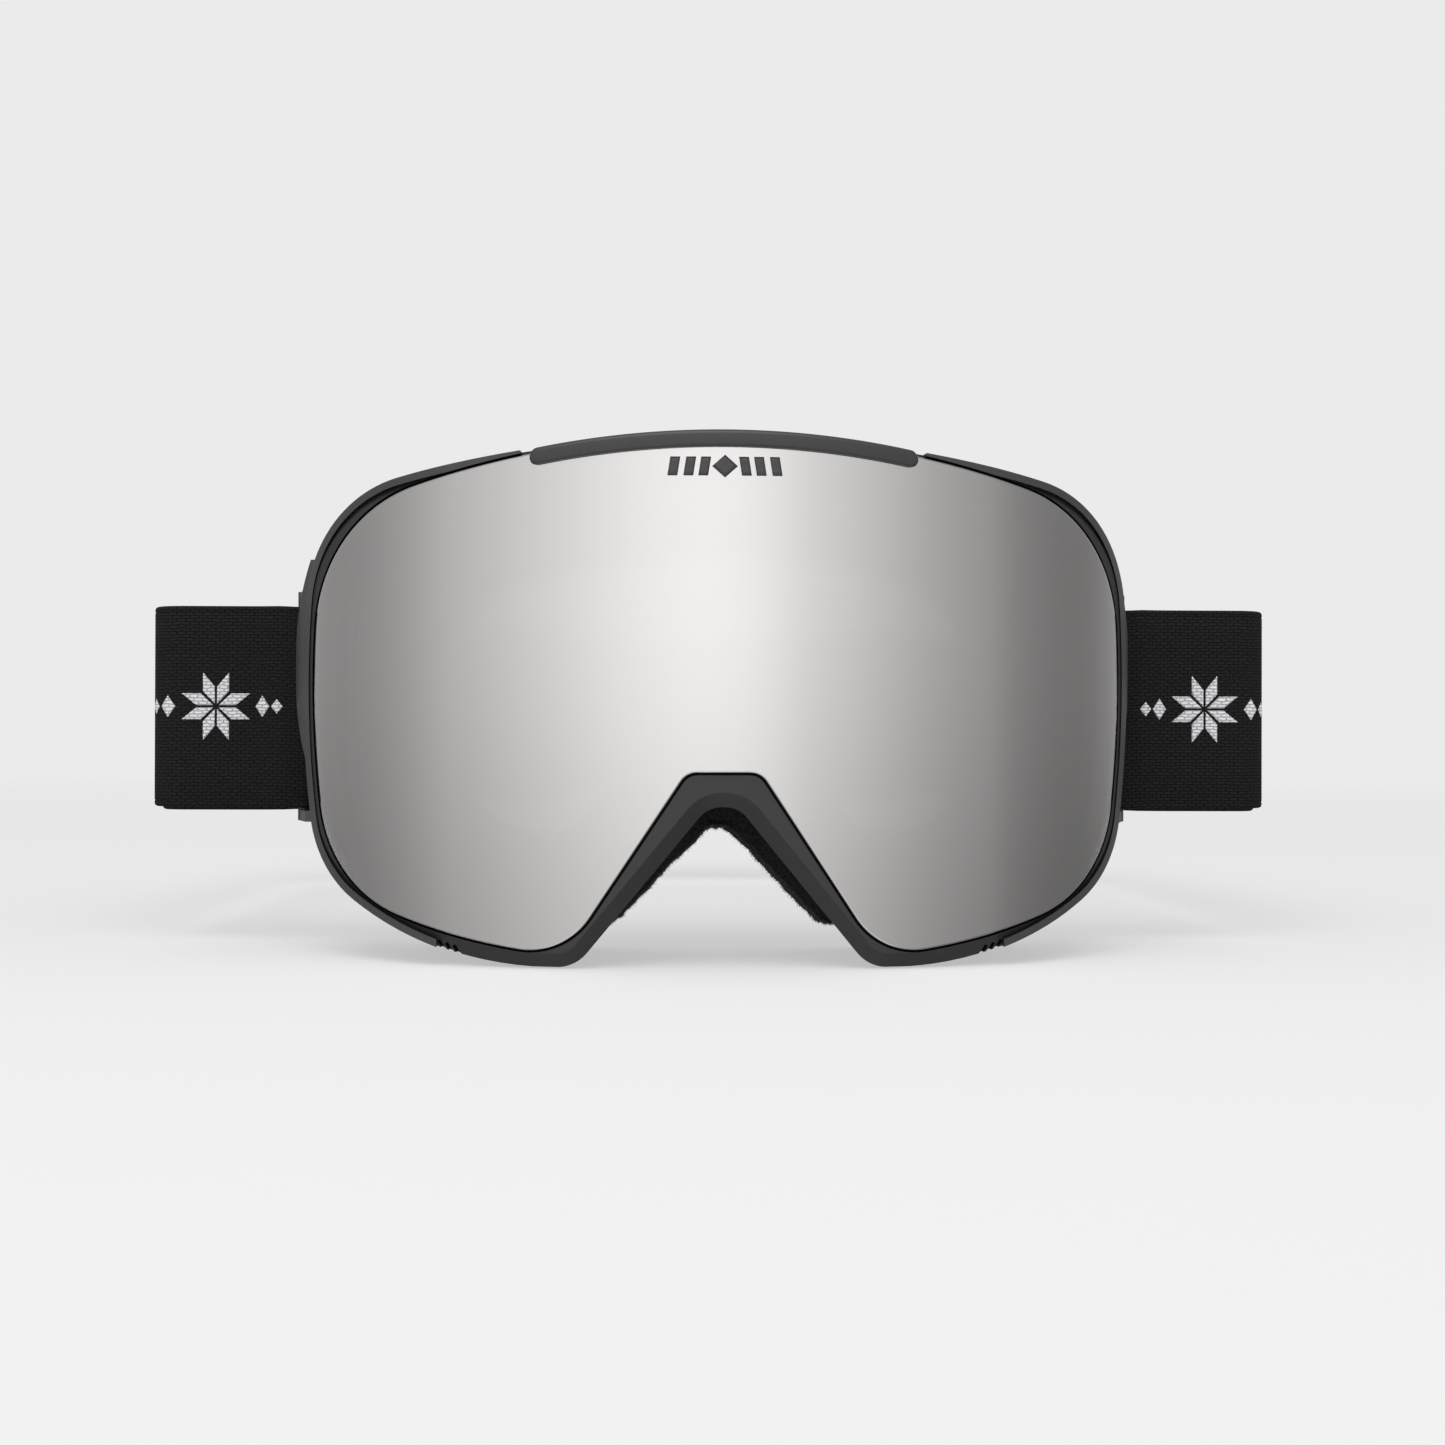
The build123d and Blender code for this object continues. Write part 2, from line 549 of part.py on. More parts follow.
def make_pin():
    length = ARM_HEIGHT - 1.0
    return Pos(PIN_X, PIN_DEPTH, ARM_BOTTOM + ARM_HEIGHT / 2) * Cylinder(PIN_R, length)


# ---------------------------------------------------------------- strap
def band(face, drop=0.0):
    """A plan face raised to the strap's width, dropped a little towards the back."""
    return sagged(raised(face, STRAP_BOTTOM - drop, STRAP_WIDTH))


def sagged(shape):
    """Turn a piece of the strap about the outriggers' strap bars, so that its back hangs lower."""
    pivot = Pos(0, BAR_Y, STRAP_LEVEL)
    return pivot * Rot(-STRAP_SAG, 0, 0) * pivot.inverse() * shape


def loop_path(inset):
    """Centre line of a strap layer from above, this far inside the outer layer."""
    start = BAR_X + STRAP_END_LENGTH + SWING_ROOM
    front = BAR_Y - (STRAP_THICK + LAYER_GAP) / 2 + inset
    fold = FOLD_X - inset
    back = STRAP_DEPTH - inset
    corner = FOLD_X - BACK_CORNER_IN - inset
    points = [(-start, front), (-fold, front), (-corner, back), (corner, back), (fold, front), (start, front)]
    fold_r = FOLD_R - inset
    corner_r = BACK_CORNER_R - inset
    return FilletPolyline(*points, radius=[fold_r, corner_r, corner_r, fold_r])


def make_inner_layers():
    """The doubled inner layer on the left and on the right, each as far as its adjuster may come."""
    inner = band(trace(loop_path(STRAP_THICK + LAYER_GAP), STRAP_THICK), 0.7)
    end = SLIDER_X + SLIDER_LENGTH / 2 + SLIDER_TRAVEL + 1.0
    inner -= block(-end, end, STRAP_DEPTH - BACK_CORNER_R, TALL, 0, TALL)
    return inner.solids().sort_by(Axis.X)


def make_strap_end():
    """Right end of the strap, sewn round the strap bar of the outrigger."""
    hole = BAR_R + GLUE
    ring = Pos(BAR_X, BAR_Y) * Circle(hole + STRAP_THICK)
    legs = Pos(BAR_X + STRAP_END_LENGTH / 2, BAR_Y) * Rectangle(STRAP_END_LENGTH, 2 * (hole + STRAP_THICK))
    eye = Pos(BAR_X, BAR_Y) * Circle(hole)
    gap = Pos(BAR_X + STRAP_END_LENGTH / 2 + 1, BAR_Y) * Rectangle(STRAP_END_LENGTH, 2 * hole)
    return raised(ring + legs - eye - gap, STRAP_BOTTOM, STRAP_WIDTH)


# ---------------------------------------------------------------- adjusters and silicone
def make_slider():
    """Right adjuster: end bars outside the strap, a centre bar inside it, rails above and below."""
    half = SLIDER_LENGTH / 2
    tunnel = STRAP_THICK / 2 + SLIDER_CLEAR
    reach = STRAP_WIDTH / 2 + SLIDER_CLEAR
    inner = STRAP_DEPTH - tunnel - SLIDER_SKIN
    outer = STRAP_DEPTH + tunnel + SLIDER_SKIN
    shell = block(-half, half, inner, outer, -reach - SLIDER_RAIL, reach + SLIDER_RAIL)
    shell = fillet(shell.edges().filter_by(Axis.Y), SLIDER_RAIL * 0.9)
    passage = block(-TALL, TALL, STRAP_DEPTH - tunnel, STRAP_DEPTH + tunnel, -reach, reach)
    window = block(-half + SLIDER_BAR, half - SLIDER_BAR, STRAP_DEPTH, TALL, -reach, reach)
    beside_bar = block(-TALL, TALL, 0, STRAP_DEPTH, -reach, reach)
    beside_bar -= block(-SLIDER_BAR / 2, SLIDER_BAR / 2, 0, STRAP_DEPTH, -reach, reach)
    return sagged(Pos(SLIDER_X, 0, STRAP_LEVEL) * (shell - passage - window - beside_bar))


def make_strap_tail():
    """End of the inner layer, sewn round the adjuster's centre bar."""
    face = STRAP_DEPTH - STRAP_THICK / 2 - SLIDER_CLEAR - SLIDER_SKIN - GLUE
    half = STRAP_WIDTH / 2
    return sagged(Pos(SLIDER_X, 0, STRAP_LEVEL) * block(-SLIDER_BAR / 2 - 1, SLIDER_LENGTH / 2,
                                                        face - STRAP_THICK, face, -half, half))


def make_silicone():
    """Three lines of silicone on the inside of the strap's back run."""
    face = STRAP_DEPTH - STRAP_THICK / 2 - GLUE / 2
    beads = [sagged(block(-BEAD_HALF, BEAD_HALF, face - BEAD_THICK, face, z - BEAD_WIDTH / 2, z + BEAD_WIDTH / 2))
             for z in (STRAP_LEVEL - BEAD_PITCH, STRAP_LEVEL, STRAP_LEVEL + BEAD_PITCH)]
    return Compound(beads)


# ---------------------------------------------------------------- the whole part
def build():
    os.makedirs("parts", exist_ok=True)
    keep("frame", make_frame())
    for name, shape in list(make_padding()) + list(make_lens_assembly()):
        keep(name, shape)
    keep("frame_magnets", magnets(SEAT))
    keep("top_vent_foam", vent_foam(-58, 58, PORT_TOP, TALL))
    inner_left, inner_right = make_inner_layers()
    keep("strap_webbing", band(trace(loop_path(0), STRAP_THICK)))
    keep("strap_inner_left", inner_left)
    keep("strap_inner_right", inner_right)
    keep("silicone_grip", make_silicone())
    for name, shape in (("side_rim", make_side_rim()), ("bottom_vent_foam", vent_foam(30, 72, -TALL, PORT_BOTTOM)),
                        ("side_mesh", side_mesh()), ("outrigger", make_outrigger()), ("hinge_pin", make_pin()),
                        ("strap_end", make_strap_end()), ("slider", make_slider()),
                        ("strap_tail", make_strap_tail())):
        keep(name + "_right", shape)
        keep(name + "_left", mirrored(shape))
    box = Compound(ALL).bounding_box()
    print("box", [round(v, 2) for v in (*box.min, *box.max)])
    print("pin", PIN_X, PIN_DEPTH - CENTRE_Y, "centre", CENTRE_Y)


build()
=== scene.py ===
# %% [markdown]
# # Ski goggles
# A mirrored lens in a soft frame, three layers of face padding, two hinged arms and a wide elastic
# strap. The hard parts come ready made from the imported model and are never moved. This lesson adds
# what a CAD solid can't show: a true mirror curve, crowned foam, fuzzy fleece and knitted webbing.

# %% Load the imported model
import bmesh
import bpy
import numpy as np
from mathutils import Matrix, Vector


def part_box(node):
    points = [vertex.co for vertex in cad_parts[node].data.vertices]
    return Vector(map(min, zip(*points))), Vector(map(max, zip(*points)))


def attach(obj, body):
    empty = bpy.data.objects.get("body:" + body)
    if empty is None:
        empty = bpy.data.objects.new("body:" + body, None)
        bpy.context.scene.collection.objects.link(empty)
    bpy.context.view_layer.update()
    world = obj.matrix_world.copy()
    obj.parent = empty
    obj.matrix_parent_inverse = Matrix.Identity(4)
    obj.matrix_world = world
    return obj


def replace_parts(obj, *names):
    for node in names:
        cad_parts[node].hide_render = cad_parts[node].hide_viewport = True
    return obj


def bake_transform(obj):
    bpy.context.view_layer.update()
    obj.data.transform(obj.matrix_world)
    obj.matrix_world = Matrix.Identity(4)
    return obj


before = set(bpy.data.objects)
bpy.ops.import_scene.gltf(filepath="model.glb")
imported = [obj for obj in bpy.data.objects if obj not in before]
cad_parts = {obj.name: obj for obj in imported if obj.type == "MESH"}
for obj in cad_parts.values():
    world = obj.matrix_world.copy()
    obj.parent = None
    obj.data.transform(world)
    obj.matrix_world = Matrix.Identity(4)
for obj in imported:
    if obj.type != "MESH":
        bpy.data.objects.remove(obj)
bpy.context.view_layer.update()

# %% [markdown]
# ## One way to place everything
# On a goggle every layer is measured backwards from the front of the lens, so the lesson works in
# millimetres of width, depth and height, and one helper turns them into metres of the shared frame.
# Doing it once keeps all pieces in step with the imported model.

# %% Millimetres to the shared frame
LENS_LOW, LENS_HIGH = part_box("outer_lens")
FRONT = LENS_LOW.y


def placed(x, depth, z):
    """Points in the shared frame: millimetres times 0.001, with depth counted from the lens front."""
    x, depth, z = np.broadcast_arrays(x, depth, z)
    return np.stack([x * 0.001, depth * 0.001 + FRONT, z * 0.001], axis=-1)


print("lens front at y", round(FRONT, 5), "lens width", round(LENS_HIGH.x - LENS_LOW.x, 4))

# %% Grids of quads
def quad_corners(rows, columns, close_rows=False, close_columns=False):
    """Row and column number of the four corners of each quad of a grid. A closed direction gets one
    more step, whose far corners are numbered past the end, so that patterns can run on over the seam."""
    i = np.arange(rows if close_rows else rows - 1)
    j = np.arange(columns if close_columns else columns - 1)
    i, j = np.meshgrid(i, j, indexing="ij")
    return (np.stack([i, i + 1, i + 1, i], axis=-1).reshape(-1, 4),
            np.stack([j, j, j + 1, j + 1], axis=-1).reshape(-1, 4))


def new_piece(name, points, faces, finish, body=None, stage=False):
    """A mesh object from points (n, 3) and faces, smooth, with its normals turned outwards."""
    mesh = bpy.data.meshes.new(name)
    mesh.from_pydata(points.reshape(-1, 3).tolist(), [], faces)
    work = bmesh.new()
    work.from_mesh(mesh)
    bmesh.ops.recalc_face_normals(work, faces=work.faces)
    work.to_mesh(mesh)
    work.free()
    mesh.shade_smooth()
    mesh.materials.append(finish)
    piece = bpy.data.objects.new(name, mesh)
    bpy.context.collection.objects.link(piece)
    if stage:
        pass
    elif body:
        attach(piece, body)
    return piece


def tube_faces(rows, columns, close_rows=False, first=0):
    """Faces of a closed profile carried along a path: quads all round, and a cap at each open end."""
    i, j = quad_corners(rows, columns, close_rows, True)
    faces = (first + i % rows * columns + j % columns).tolist()
    if not close_rows:
        faces.append([first + k for k in range(columns)])
        faces.append([first + (rows - 1) * columns + k for k in range(columns)])
    return faces


print("one grid of 3 by 4 points has", len(quad_corners(3, 4)[0]), "quads")

# %% [markdown]
# ## The curve of the lens from above
# A cylindrical lens is one flat arc in the middle and a tighter arc at each side, then straight.
# Every layer behind it follows the same curve, moved inwards or straight back. A mirror shows the
# smallest flat spot, so depth and direction are worked out exactly instead of read off a mesh.

# %% Lens curve
FLAT_R = 160.0
SIDE_R = 64.0
SIDE_BEND = 31.5            # width of the tighter arc
LENS_HALF = (LENS_HIGH.x - LENS_LOW.x) * 500.0
FLAT_HALF = LENS_HALF - SIDE_BEND
BEND_START = np.arcsin(FLAT_HALF / FLAT_R)
BEND_X = FLAT_HALF - SIDE_R * np.sin(BEND_START)
BEND_DEPTH = FLAT_R - (FLAT_R - SIDE_R) * np.cos(BEND_START)
BEND_END = np.arcsin((LENS_HALF - BEND_X) / SIDE_R)


def lens_turn(x, inwards=0.0):
    """Angle between the lens's outward direction and straight ahead: the arc sine of the distance
    from each arc's middle over its radius."""
    x = np.abs(x)
    flat = np.arcsin(np.clip(x / (FLAT_R - inwards), 0, 1))
    side = np.arcsin(np.clip((x - BEND_X) / (SIDE_R - inwards), 0, 1))
    return np.where(flat < BEND_START, flat, np.minimum(side, BEND_END))


def lens_depth(x, inwards=0.0):
    """Depth of the lens curve at width x: radius minus its cosine part on the arcs, and a straight
    run along the last direction beyond them."""
    turn = lens_turn(x, inwards)
    end_x = BEND_X + (SIDE_R - inwards) * np.sin(BEND_END)
    flat = FLAT_R - (FLAT_R - inwards) * np.cos(turn)
    side = BEND_DEPTH - (SIDE_R - inwards) * np.cos(turn)
    past = np.maximum(np.abs(x) - end_x, 0) * np.tan(BEND_END)
    return np.where(turn < BEND_START, flat, side + past)


print("lens depth, mm: middle", lens_depth(0.0).round(2), "side", lens_depth(LENS_HALF).round(2))

# %% [markdown]
# ## Outlines
# Seen from the front, lens, frame, padding and eye opening have the same kind of outline: an arc over
# the top, one down each side, one under each eye and a nose notch, with rounded corners between.
# Each is the same list of arcs with other numbers. Because every arc gets a fixed number of points,
# two outlines can be joined point to point into a ring.

# %% Rounded corners between arcs
def circles_meet(one, r_one, two, r_two, side):
    """Where two circles meet: along the line between centres by the law of cosines, then square to
    it, to one side or the other."""
    across = two - one
    gap = np.hypot(*across)
    along = (r_one ** 2 - r_two ** 2 + gap ** 2) / (2 * gap)
    off = np.sqrt(max(r_one ** 2 - along ** 2, 0.0))
    unit = across / gap
    return one + along * unit + side * off * np.array([-unit[1], unit[0]])


def circle_at_line(centre, radius, point, along):
    """The far meeting place, in the direction of along, of a circle and a line through point."""
    start = point - centre
    half = start @ along
    return point + (-half + np.sqrt(half ** 2 - start @ start + radius ** 2)) * along


def arc(centre, radius, start, end, count):
    """Points round a centre from one direction to another the short way: centre plus radius times
    cosine and sine of evenly spaced angles."""
    a = np.arctan2(start[1] - centre[1], start[0] - centre[0])
    b = np.arctan2(end[1] - centre[1], end[0] - centre[0])
    turn = (b - a + np.pi) % (2 * np.pi) - np.pi
    angles = a + turn * np.linspace(0, 1, count, endpoint=False)
    return centre + radius * np.stack([np.cos(angles), np.sin(angles)], axis=-1)


def goggle_outline(shape, grow=0.0, dense=1):
    """Closed outline (n, 2) of width and height, clockwise from the middle of the top. Each arc and
    corner is grown square to itself."""
    top_c = np.array([0.0, shape["top"][0] - shape["top"][1]])
    side_c = np.array([shape["half"][0] - shape["half"][1], shape["level"]])
    low_c = np.array([shape["bottom"][1], shape["bottom"][0] + shape["bottom"][2]])
    top_r, side_r, low_r = (shape["top"][1] + grow, shape["half"][1] + grow, shape["bottom"][2] + grow)
    r_top, r_low, r_lobe, r_notch = np.array(shape["corners"]) + np.array([grow, grow, grow, -grow])
    r_notch = max(r_notch, 0.4)
    slope = shape["notch"][2]
    length = np.hypot(slope, 1.0)
    inward = np.array([slope, 1.0]) / length
    down = np.array([1.0, -slope]) / length
    apex = shape["notch"][0] - grow
    notch_at = np.array([shape["notch"][1] + grow / slope - grow * length / slope, apex])
    c1 = circles_meet(top_c, top_r - r_top, side_c, side_r - r_top, -1)
    c1 = c1 if c1[0] > 0 else circles_meet(top_c, top_r - r_top, side_c, side_r - r_top, 1)
    c2 = circles_meet(side_c, side_r - r_low, low_c, low_r - r_low, -1)
    other = circles_meet(side_c, side_r - r_low, low_c, low_r - r_low, 1)
    c2 = c2 if c2[0] > other[0] else other
    c3 = circle_at_line(low_c, low_r - r_lobe, notch_at + r_lobe * inward, down)
    c4 = np.array([notch_at[0] - (length - 1.0) / slope * r_notch, apex - r_notch])

    def toward(centre, radius, place):
        away = place - centre
        return centre + radius * away / np.hypot(*away)

    t1, t2 = toward(top_c, top_r, c1), toward(side_c, side_r, c1)
    t3, t4 = toward(side_c, side_r, c2), toward(low_c, low_r, c2)
    t5, t6 = toward(low_c, low_r, c3), c3 - r_lobe * inward
    t7, t8 = c4 + r_notch * inward, np.array([c4[0], apex])
    steps = (np.array([46, 22, 22, 20, 20, 16, 20, 10, 6]) * dense).astype(int)
    straight = np.linspace(0, 1, steps[6], endpoint=False)[:, None]
    level = np.linspace(0, 1, steps[8], endpoint=False)[:, None]
    half = np.concatenate([
        arc(top_c, top_r, np.array([0.0, 1e4]), t1, steps[0]), arc(c1, r_top, t1, t2, steps[1]),
        arc(side_c, side_r, t2, t3, steps[2]), arc(c2, r_low, t3, t4, steps[3]),
        arc(low_c, low_r, t4, t5, steps[4]), arc(c3, r_lobe, t5, t6, steps[5]),
        t6 + (t7 - t6) * straight, arc(c4, r_notch, t7, t8, steps[7]),
        t8 + (np.array([0.0, apex]) - t8) * level])
    nose = np.array([[0.0, apex]])
    return np.concatenate([half, nose, (half * [-1, 1])[:0:-1]])


# %% The outlines of this goggle
LENS_SHAPE = dict(top=(107.7, 218.0), half=(86.5, 190.0), level=57.5, bottom=(2.5, 24.0, 130.0),
                  notch=(39.75, 7.4, 1.51), corners=(32.0, 27.0, 15.0, 4.0))
WALL_SHAPE = dict(top=(104.0, 294.0), half=(80.5, 200.0), level=57.5, bottom=(5.0, 35.5, 75.0),
                  notch=(33.75, 3.57, 1.22), corners=(28.0, 24.0, 8.0, 6.0))
FOAM_SHAPE = dict(WALL_SHAPE, notch=(27.0, 1.7, 1.03), corners=(28.0, 24.0, 8.0, 1.5))
EYE_SHAPE = dict(top=(86.0, 160.0), half=(56.0, 110.0), level=54.0, bottom=(24.5, 35.0, 60.0),
                 notch=(51.7, 12.0, 1.51), corners=(15.0, 15.0, 9.0, 5.0))
lens_edge = goggle_outline(LENS_SHAPE)
print("lens outline", len(lens_edge), "points", lens_edge.min(0).round(2), lens_edge.max(0).round(2))

# %% [markdown]
# ## Finishes
# Each finish is a Principled shader with the plain values of the real material. Patterns come from
# noise in object coordinates, or from an attribute in metres along and across the cloth, so that a
# knit follows the strap round its folds.

# %% Finish helpers
def finish(name, colour, roughness, metallic=0.0, **values):
    """A Principled material with values set on the shader itself. Returns it, its nodes and shader."""
    material = bpy.data.materials.new(name)
    material.use_nodes = True
    shader = material.node_tree.nodes["Principled BSDF"]
    shader.inputs["Base Color"].default_value = (*colour, 1.0)
    shader.inputs["Roughness"].default_value = roughness
    shader.inputs["Metallic"].default_value = metallic
    for socket, value in values.items():
        shader.inputs[socket.replace("_", " ")].default_value = value
    return material, material.node_tree, shader


def add_node(tree, kind, values=(), **settings):
    """A shader node with its settings, and values for its input sockets by name or number."""
    node = tree.nodes.new("ShaderNode" + kind)
    for setting, value in settings.items():
        setattr(node, setting, value)
    for socket, value in dict(values).items():
        node.inputs[socket].default_value = value
    return node


def wire(tree, *links):
    """Links between nodes, each given as (node, output, node, input)."""
    for source, output, target, socket in links:
        tree.links.new(source.outputs[output], target.inputs[socket])


def grained(name, colour, roughness, scale, height, detail=3.0, tones=None, **values):
    """A finish under fine noise in object coordinates: a bump of that height in metres, and two tones."""
    material, tree, shader = finish(name, colour, roughness, **values)
    where = add_node(tree, "TexCoord")
    noise = add_node(tree, "TexNoise", {"Scale": scale, "Detail": detail})
    bump = add_node(tree, "Bump", {"Distance": height})
    wire(tree, (where, "Object", noise, "Vector"), (noise, "Fac", bump, "Height"),
         (bump, "Normal", shader, "Normal"))
    if tones:
        ramp = add_node(tree, "ValToRGB")
        for element, position, tone in zip(ramp.color_ramp.elements, (0.35, 0.68), tones):
            element.position = position
            element.color = (*tone, 1)
        wire(tree, (noise, "Fac", ramp, "Fac"), (ramp, "Color", shader, "Base Color"))
    return material


# %% Hard finishes
def moulded(name, colour, roughness, scale=900.0, height=0.00004, **values):
    """Moulded plastic or rubber: one colour broken up slightly, with a very fine spark-eroded grain."""
    dark = tuple(c * 0.93 for c in colour)
    return grained(name, colour, roughness, scale, height, tones=(dark, colour), **values)


frame_rubber = moulded("frame_rubber", (0.030, 0.030, 0.033), 0.55)
rim_plastic = moulded("rim_plastic", (0.060, 0.060, 0.064), 0.36)
grip_plastic = moulded("grip_plastic", (0.040, 0.040, 0.043), 0.42)
carrier_plastic = moulded("carrier_plastic", (0.012, 0.012, 0.013), 0.45)
outrigger_plastic = moulded("outrigger_plastic", (0.07, 0.07, 0.074), 0.38)
slider_plastic = moulded("slider_plastic", (0.018, 0.018, 0.019), 0.32)
magnet_nickel = grained("magnet_nickel", (0.62, 0.60, 0.56), 0.22, 1400.0, 0.00001, metallic=1.0)
pin_steel = grained("pin_steel", (0.55, 0.55, 0.56), 0.28, 1400.0, 0.00001, metallic=1.0)
lens_mirror = finish("lens_mirror", (0.74, 0.73, 0.725), 0.10, 1.0, Alpha=0.87)[0]
lens_clear = finish("lens_clear", (0.80, 0.82, 0.83), 0.06, 0.0, Alpha=0.16)[0]
print_ink = moulded("print_ink", (0.055, 0.055, 0.058), 0.5)
print("hard finishes", len(bpy.data.materials))

# %% Soft finishes
dense_foam = grained("dense_foam", (0.012, 0.012, 0.013), 0.95, 1500.0, 0.0005, 6.0,
                     ((0.004, 0.004, 0.005), (0.022, 0.022, 0.024)))
soft_foam = grained("soft_foam", (0.02, 0.02, 0.022), 0.95, 1100.0, 0.0006, 6.0,
                    ((0.006, 0.006, 0.007), (0.032, 0.032, 0.035)))
vent_foam = grained("vent_foam", (0.03, 0.03, 0.032), 0.95, 700.0, 0.0009, 5.0,
                    ((0.004, 0.004, 0.005), (0.045, 0.045, 0.048)))
gasket_foam = grained("gasket_foam", (0.02, 0.02, 0.021), 0.9, 1500.0, 0.0003, 5.0,
                      ((0.01, 0.01, 0.011), (0.03, 0.03, 0.032)))
fleece = grained("fleece", (0.012, 0.012, 0.013), 1.0, 1900.0, 0.0005, 6.0,
                 ((0.004, 0.004, 0.0045), (0.022, 0.022, 0.024)), Sheen_Weight=0.25, Sheen_Roughness=0.5)
vent_mesh = moulded("vent_mesh", (0.02, 0.02, 0.021), 0.55)
silicone = moulded("silicone", (0.022, 0.022, 0.024), 0.25, Coat_Weight=0.3)
thread = moulded("thread", (0.03, 0.03, 0.032), 0.8, 2500.0)

# %% [markdown]
# ## Knitted elastic
# Goggle webbing is knitted in short raised stitches that lie along the strap, row over row, each row
# half a stitch on. A brick pattern with soft joints gives the stitches, noise makes them uneven, and
# both read the attribute "cloth", so they run with the webbing. The white motif is knitted in, so it
# has the same stitches in white yarn.

# %% Knit finishes
def knit(name, high, low):
    """Knitted yarn: a brick pattern of stitches 1.9 by 0.72 mm in cloth coordinates, plus noise."""
    material, tree, shader = finish(name, high, 0.85, Specular_IOR_Level=0.25)
    cloth = add_node(tree, "Attribute", attribute_name="cloth")
    noise = add_node(tree, "TexNoise", {"Scale": 650.0, "Detail": 3.0})
    wobble = add_node(tree, "VectorMath", {1: (0.0009, 0.0007, 0.0)}, operation="MULTIPLY_ADD")
    brick = add_node(tree, "TexBrick", {
        "Color1": (1, 1, 1, 1), "Color2": (0.72, 0.72, 0.72, 1), "Mortar": (0, 0, 0, 1), "Scale": 1000.0,
        "Mortar Size": 0.2, "Mortar Smooth": 1.0, "Brick Width": 1.9, "Row Height": 0.72})
    mix = add_node(tree, "Mix", data_type="RGBA")
    mix.inputs["A"].default_value = (*low, 1)
    mix.inputs["B"].default_value = (*high, 1)
    bump = add_node(tree, "Bump", {"Distance": 0.00035})
    wire(tree, (cloth, "Vector", noise, "Vector"), (noise, "Color", wobble, 0), (cloth, "Vector", wobble, 2),
         (wobble, "Vector", brick, "Vector"), (brick, "Color", mix, "Factor"),
         (mix, "Result", shader, "Base Color"), (brick, "Color", bump, "Height"),
         (bump, "Normal", shader, "Normal"))
    return material


strap_elastic = knit("strap_elastic", (0.0135, 0.0135, 0.0155), (0.0015, 0.0015, 0.0018))
motif_yarn = knit("motif_yarn", (0.92, 0.91, 0.93), (0.66, 0.65, 0.68))

# %% [markdown]
# ## Dress the ready-made nodes
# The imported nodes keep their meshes. Each only gets the finish of its slot, and the hard ones that
# stay in sight, such as frame, rims, arms and adjusters, need nothing more.

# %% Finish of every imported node
NODE_FINISH = {
    "frame": frame_rubber, "side_rim": rim_plastic, "brow_grip": grip_plastic,
    "lens_carrier": carrier_plastic, "outrigger": outrigger_plastic, "slider": slider_plastic,
    "outer_lens": lens_mirror, "inner_lens": lens_clear, "lens_gasket": gasket_foam,
    "frame_magnets": magnet_nickel, "lens_plates": magnet_nickel, "hinge_pin": pin_steel,
    "face_foam_base": dense_foam,
    "face_foam_soft": soft_foam, "face_fleece": fleece, "top_vent_foam": vent_foam,
    "bottom_vent_foam": vent_foam, "side_mesh": vent_mesh, "strap": strap_elastic, "silicone_grip": silicone}
for node_name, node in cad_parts.items():
    plain = node_name.replace("_left", "").replace("_right", "")
    key = plain if plain in NODE_FINISH else "strap"
    node.data.materials.clear()
    node.data.materials.append(NODE_FINISH[key])
print("dressed", len(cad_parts), "nodes")

# %% [markdown]
# ## The lens
# The outer lens is a silver mirror 1.5 mm thick, with a rounded edge. Rings of the outline shrink to
# one point above the nose, which works because that point sees the whole edge. Its direction at each
# point is set from the curve itself, so reflections stay clean. A little see-through lets the eye
# opening show faintly behind the silver.

# %% Outer lens
LENS_THICK = 1.5


def lens_rows(thick=LENS_THICK, edge=0.45, rings=44):
    """Rows of the closed lens surface as (share of the outline, growth of the outline, distance
    inwards): out over the front, round the edge as a quarter circle at each side, back over the rear."""
    share = np.linspace(0, 1, rings)[1:]
    turn = np.linspace(0, np.pi / 2, 5)[1:]
    front = np.stack([share, np.full(len(share), -edge), np.zeros(len(share))], axis=-1)
    out = np.stack([np.ones(4), -edge + edge * np.sin(turn), edge - edge * np.cos(turn)], axis=-1)
    back = np.array([1, 1, -1]) * out[::-1] + np.array([0, 0, thick])
    last = np.array([[1.0, -edge, thick]])
    rear = front[::-2] + [0, 0, thick]
    return np.concatenate([front, out, back, last, rear[1:]])


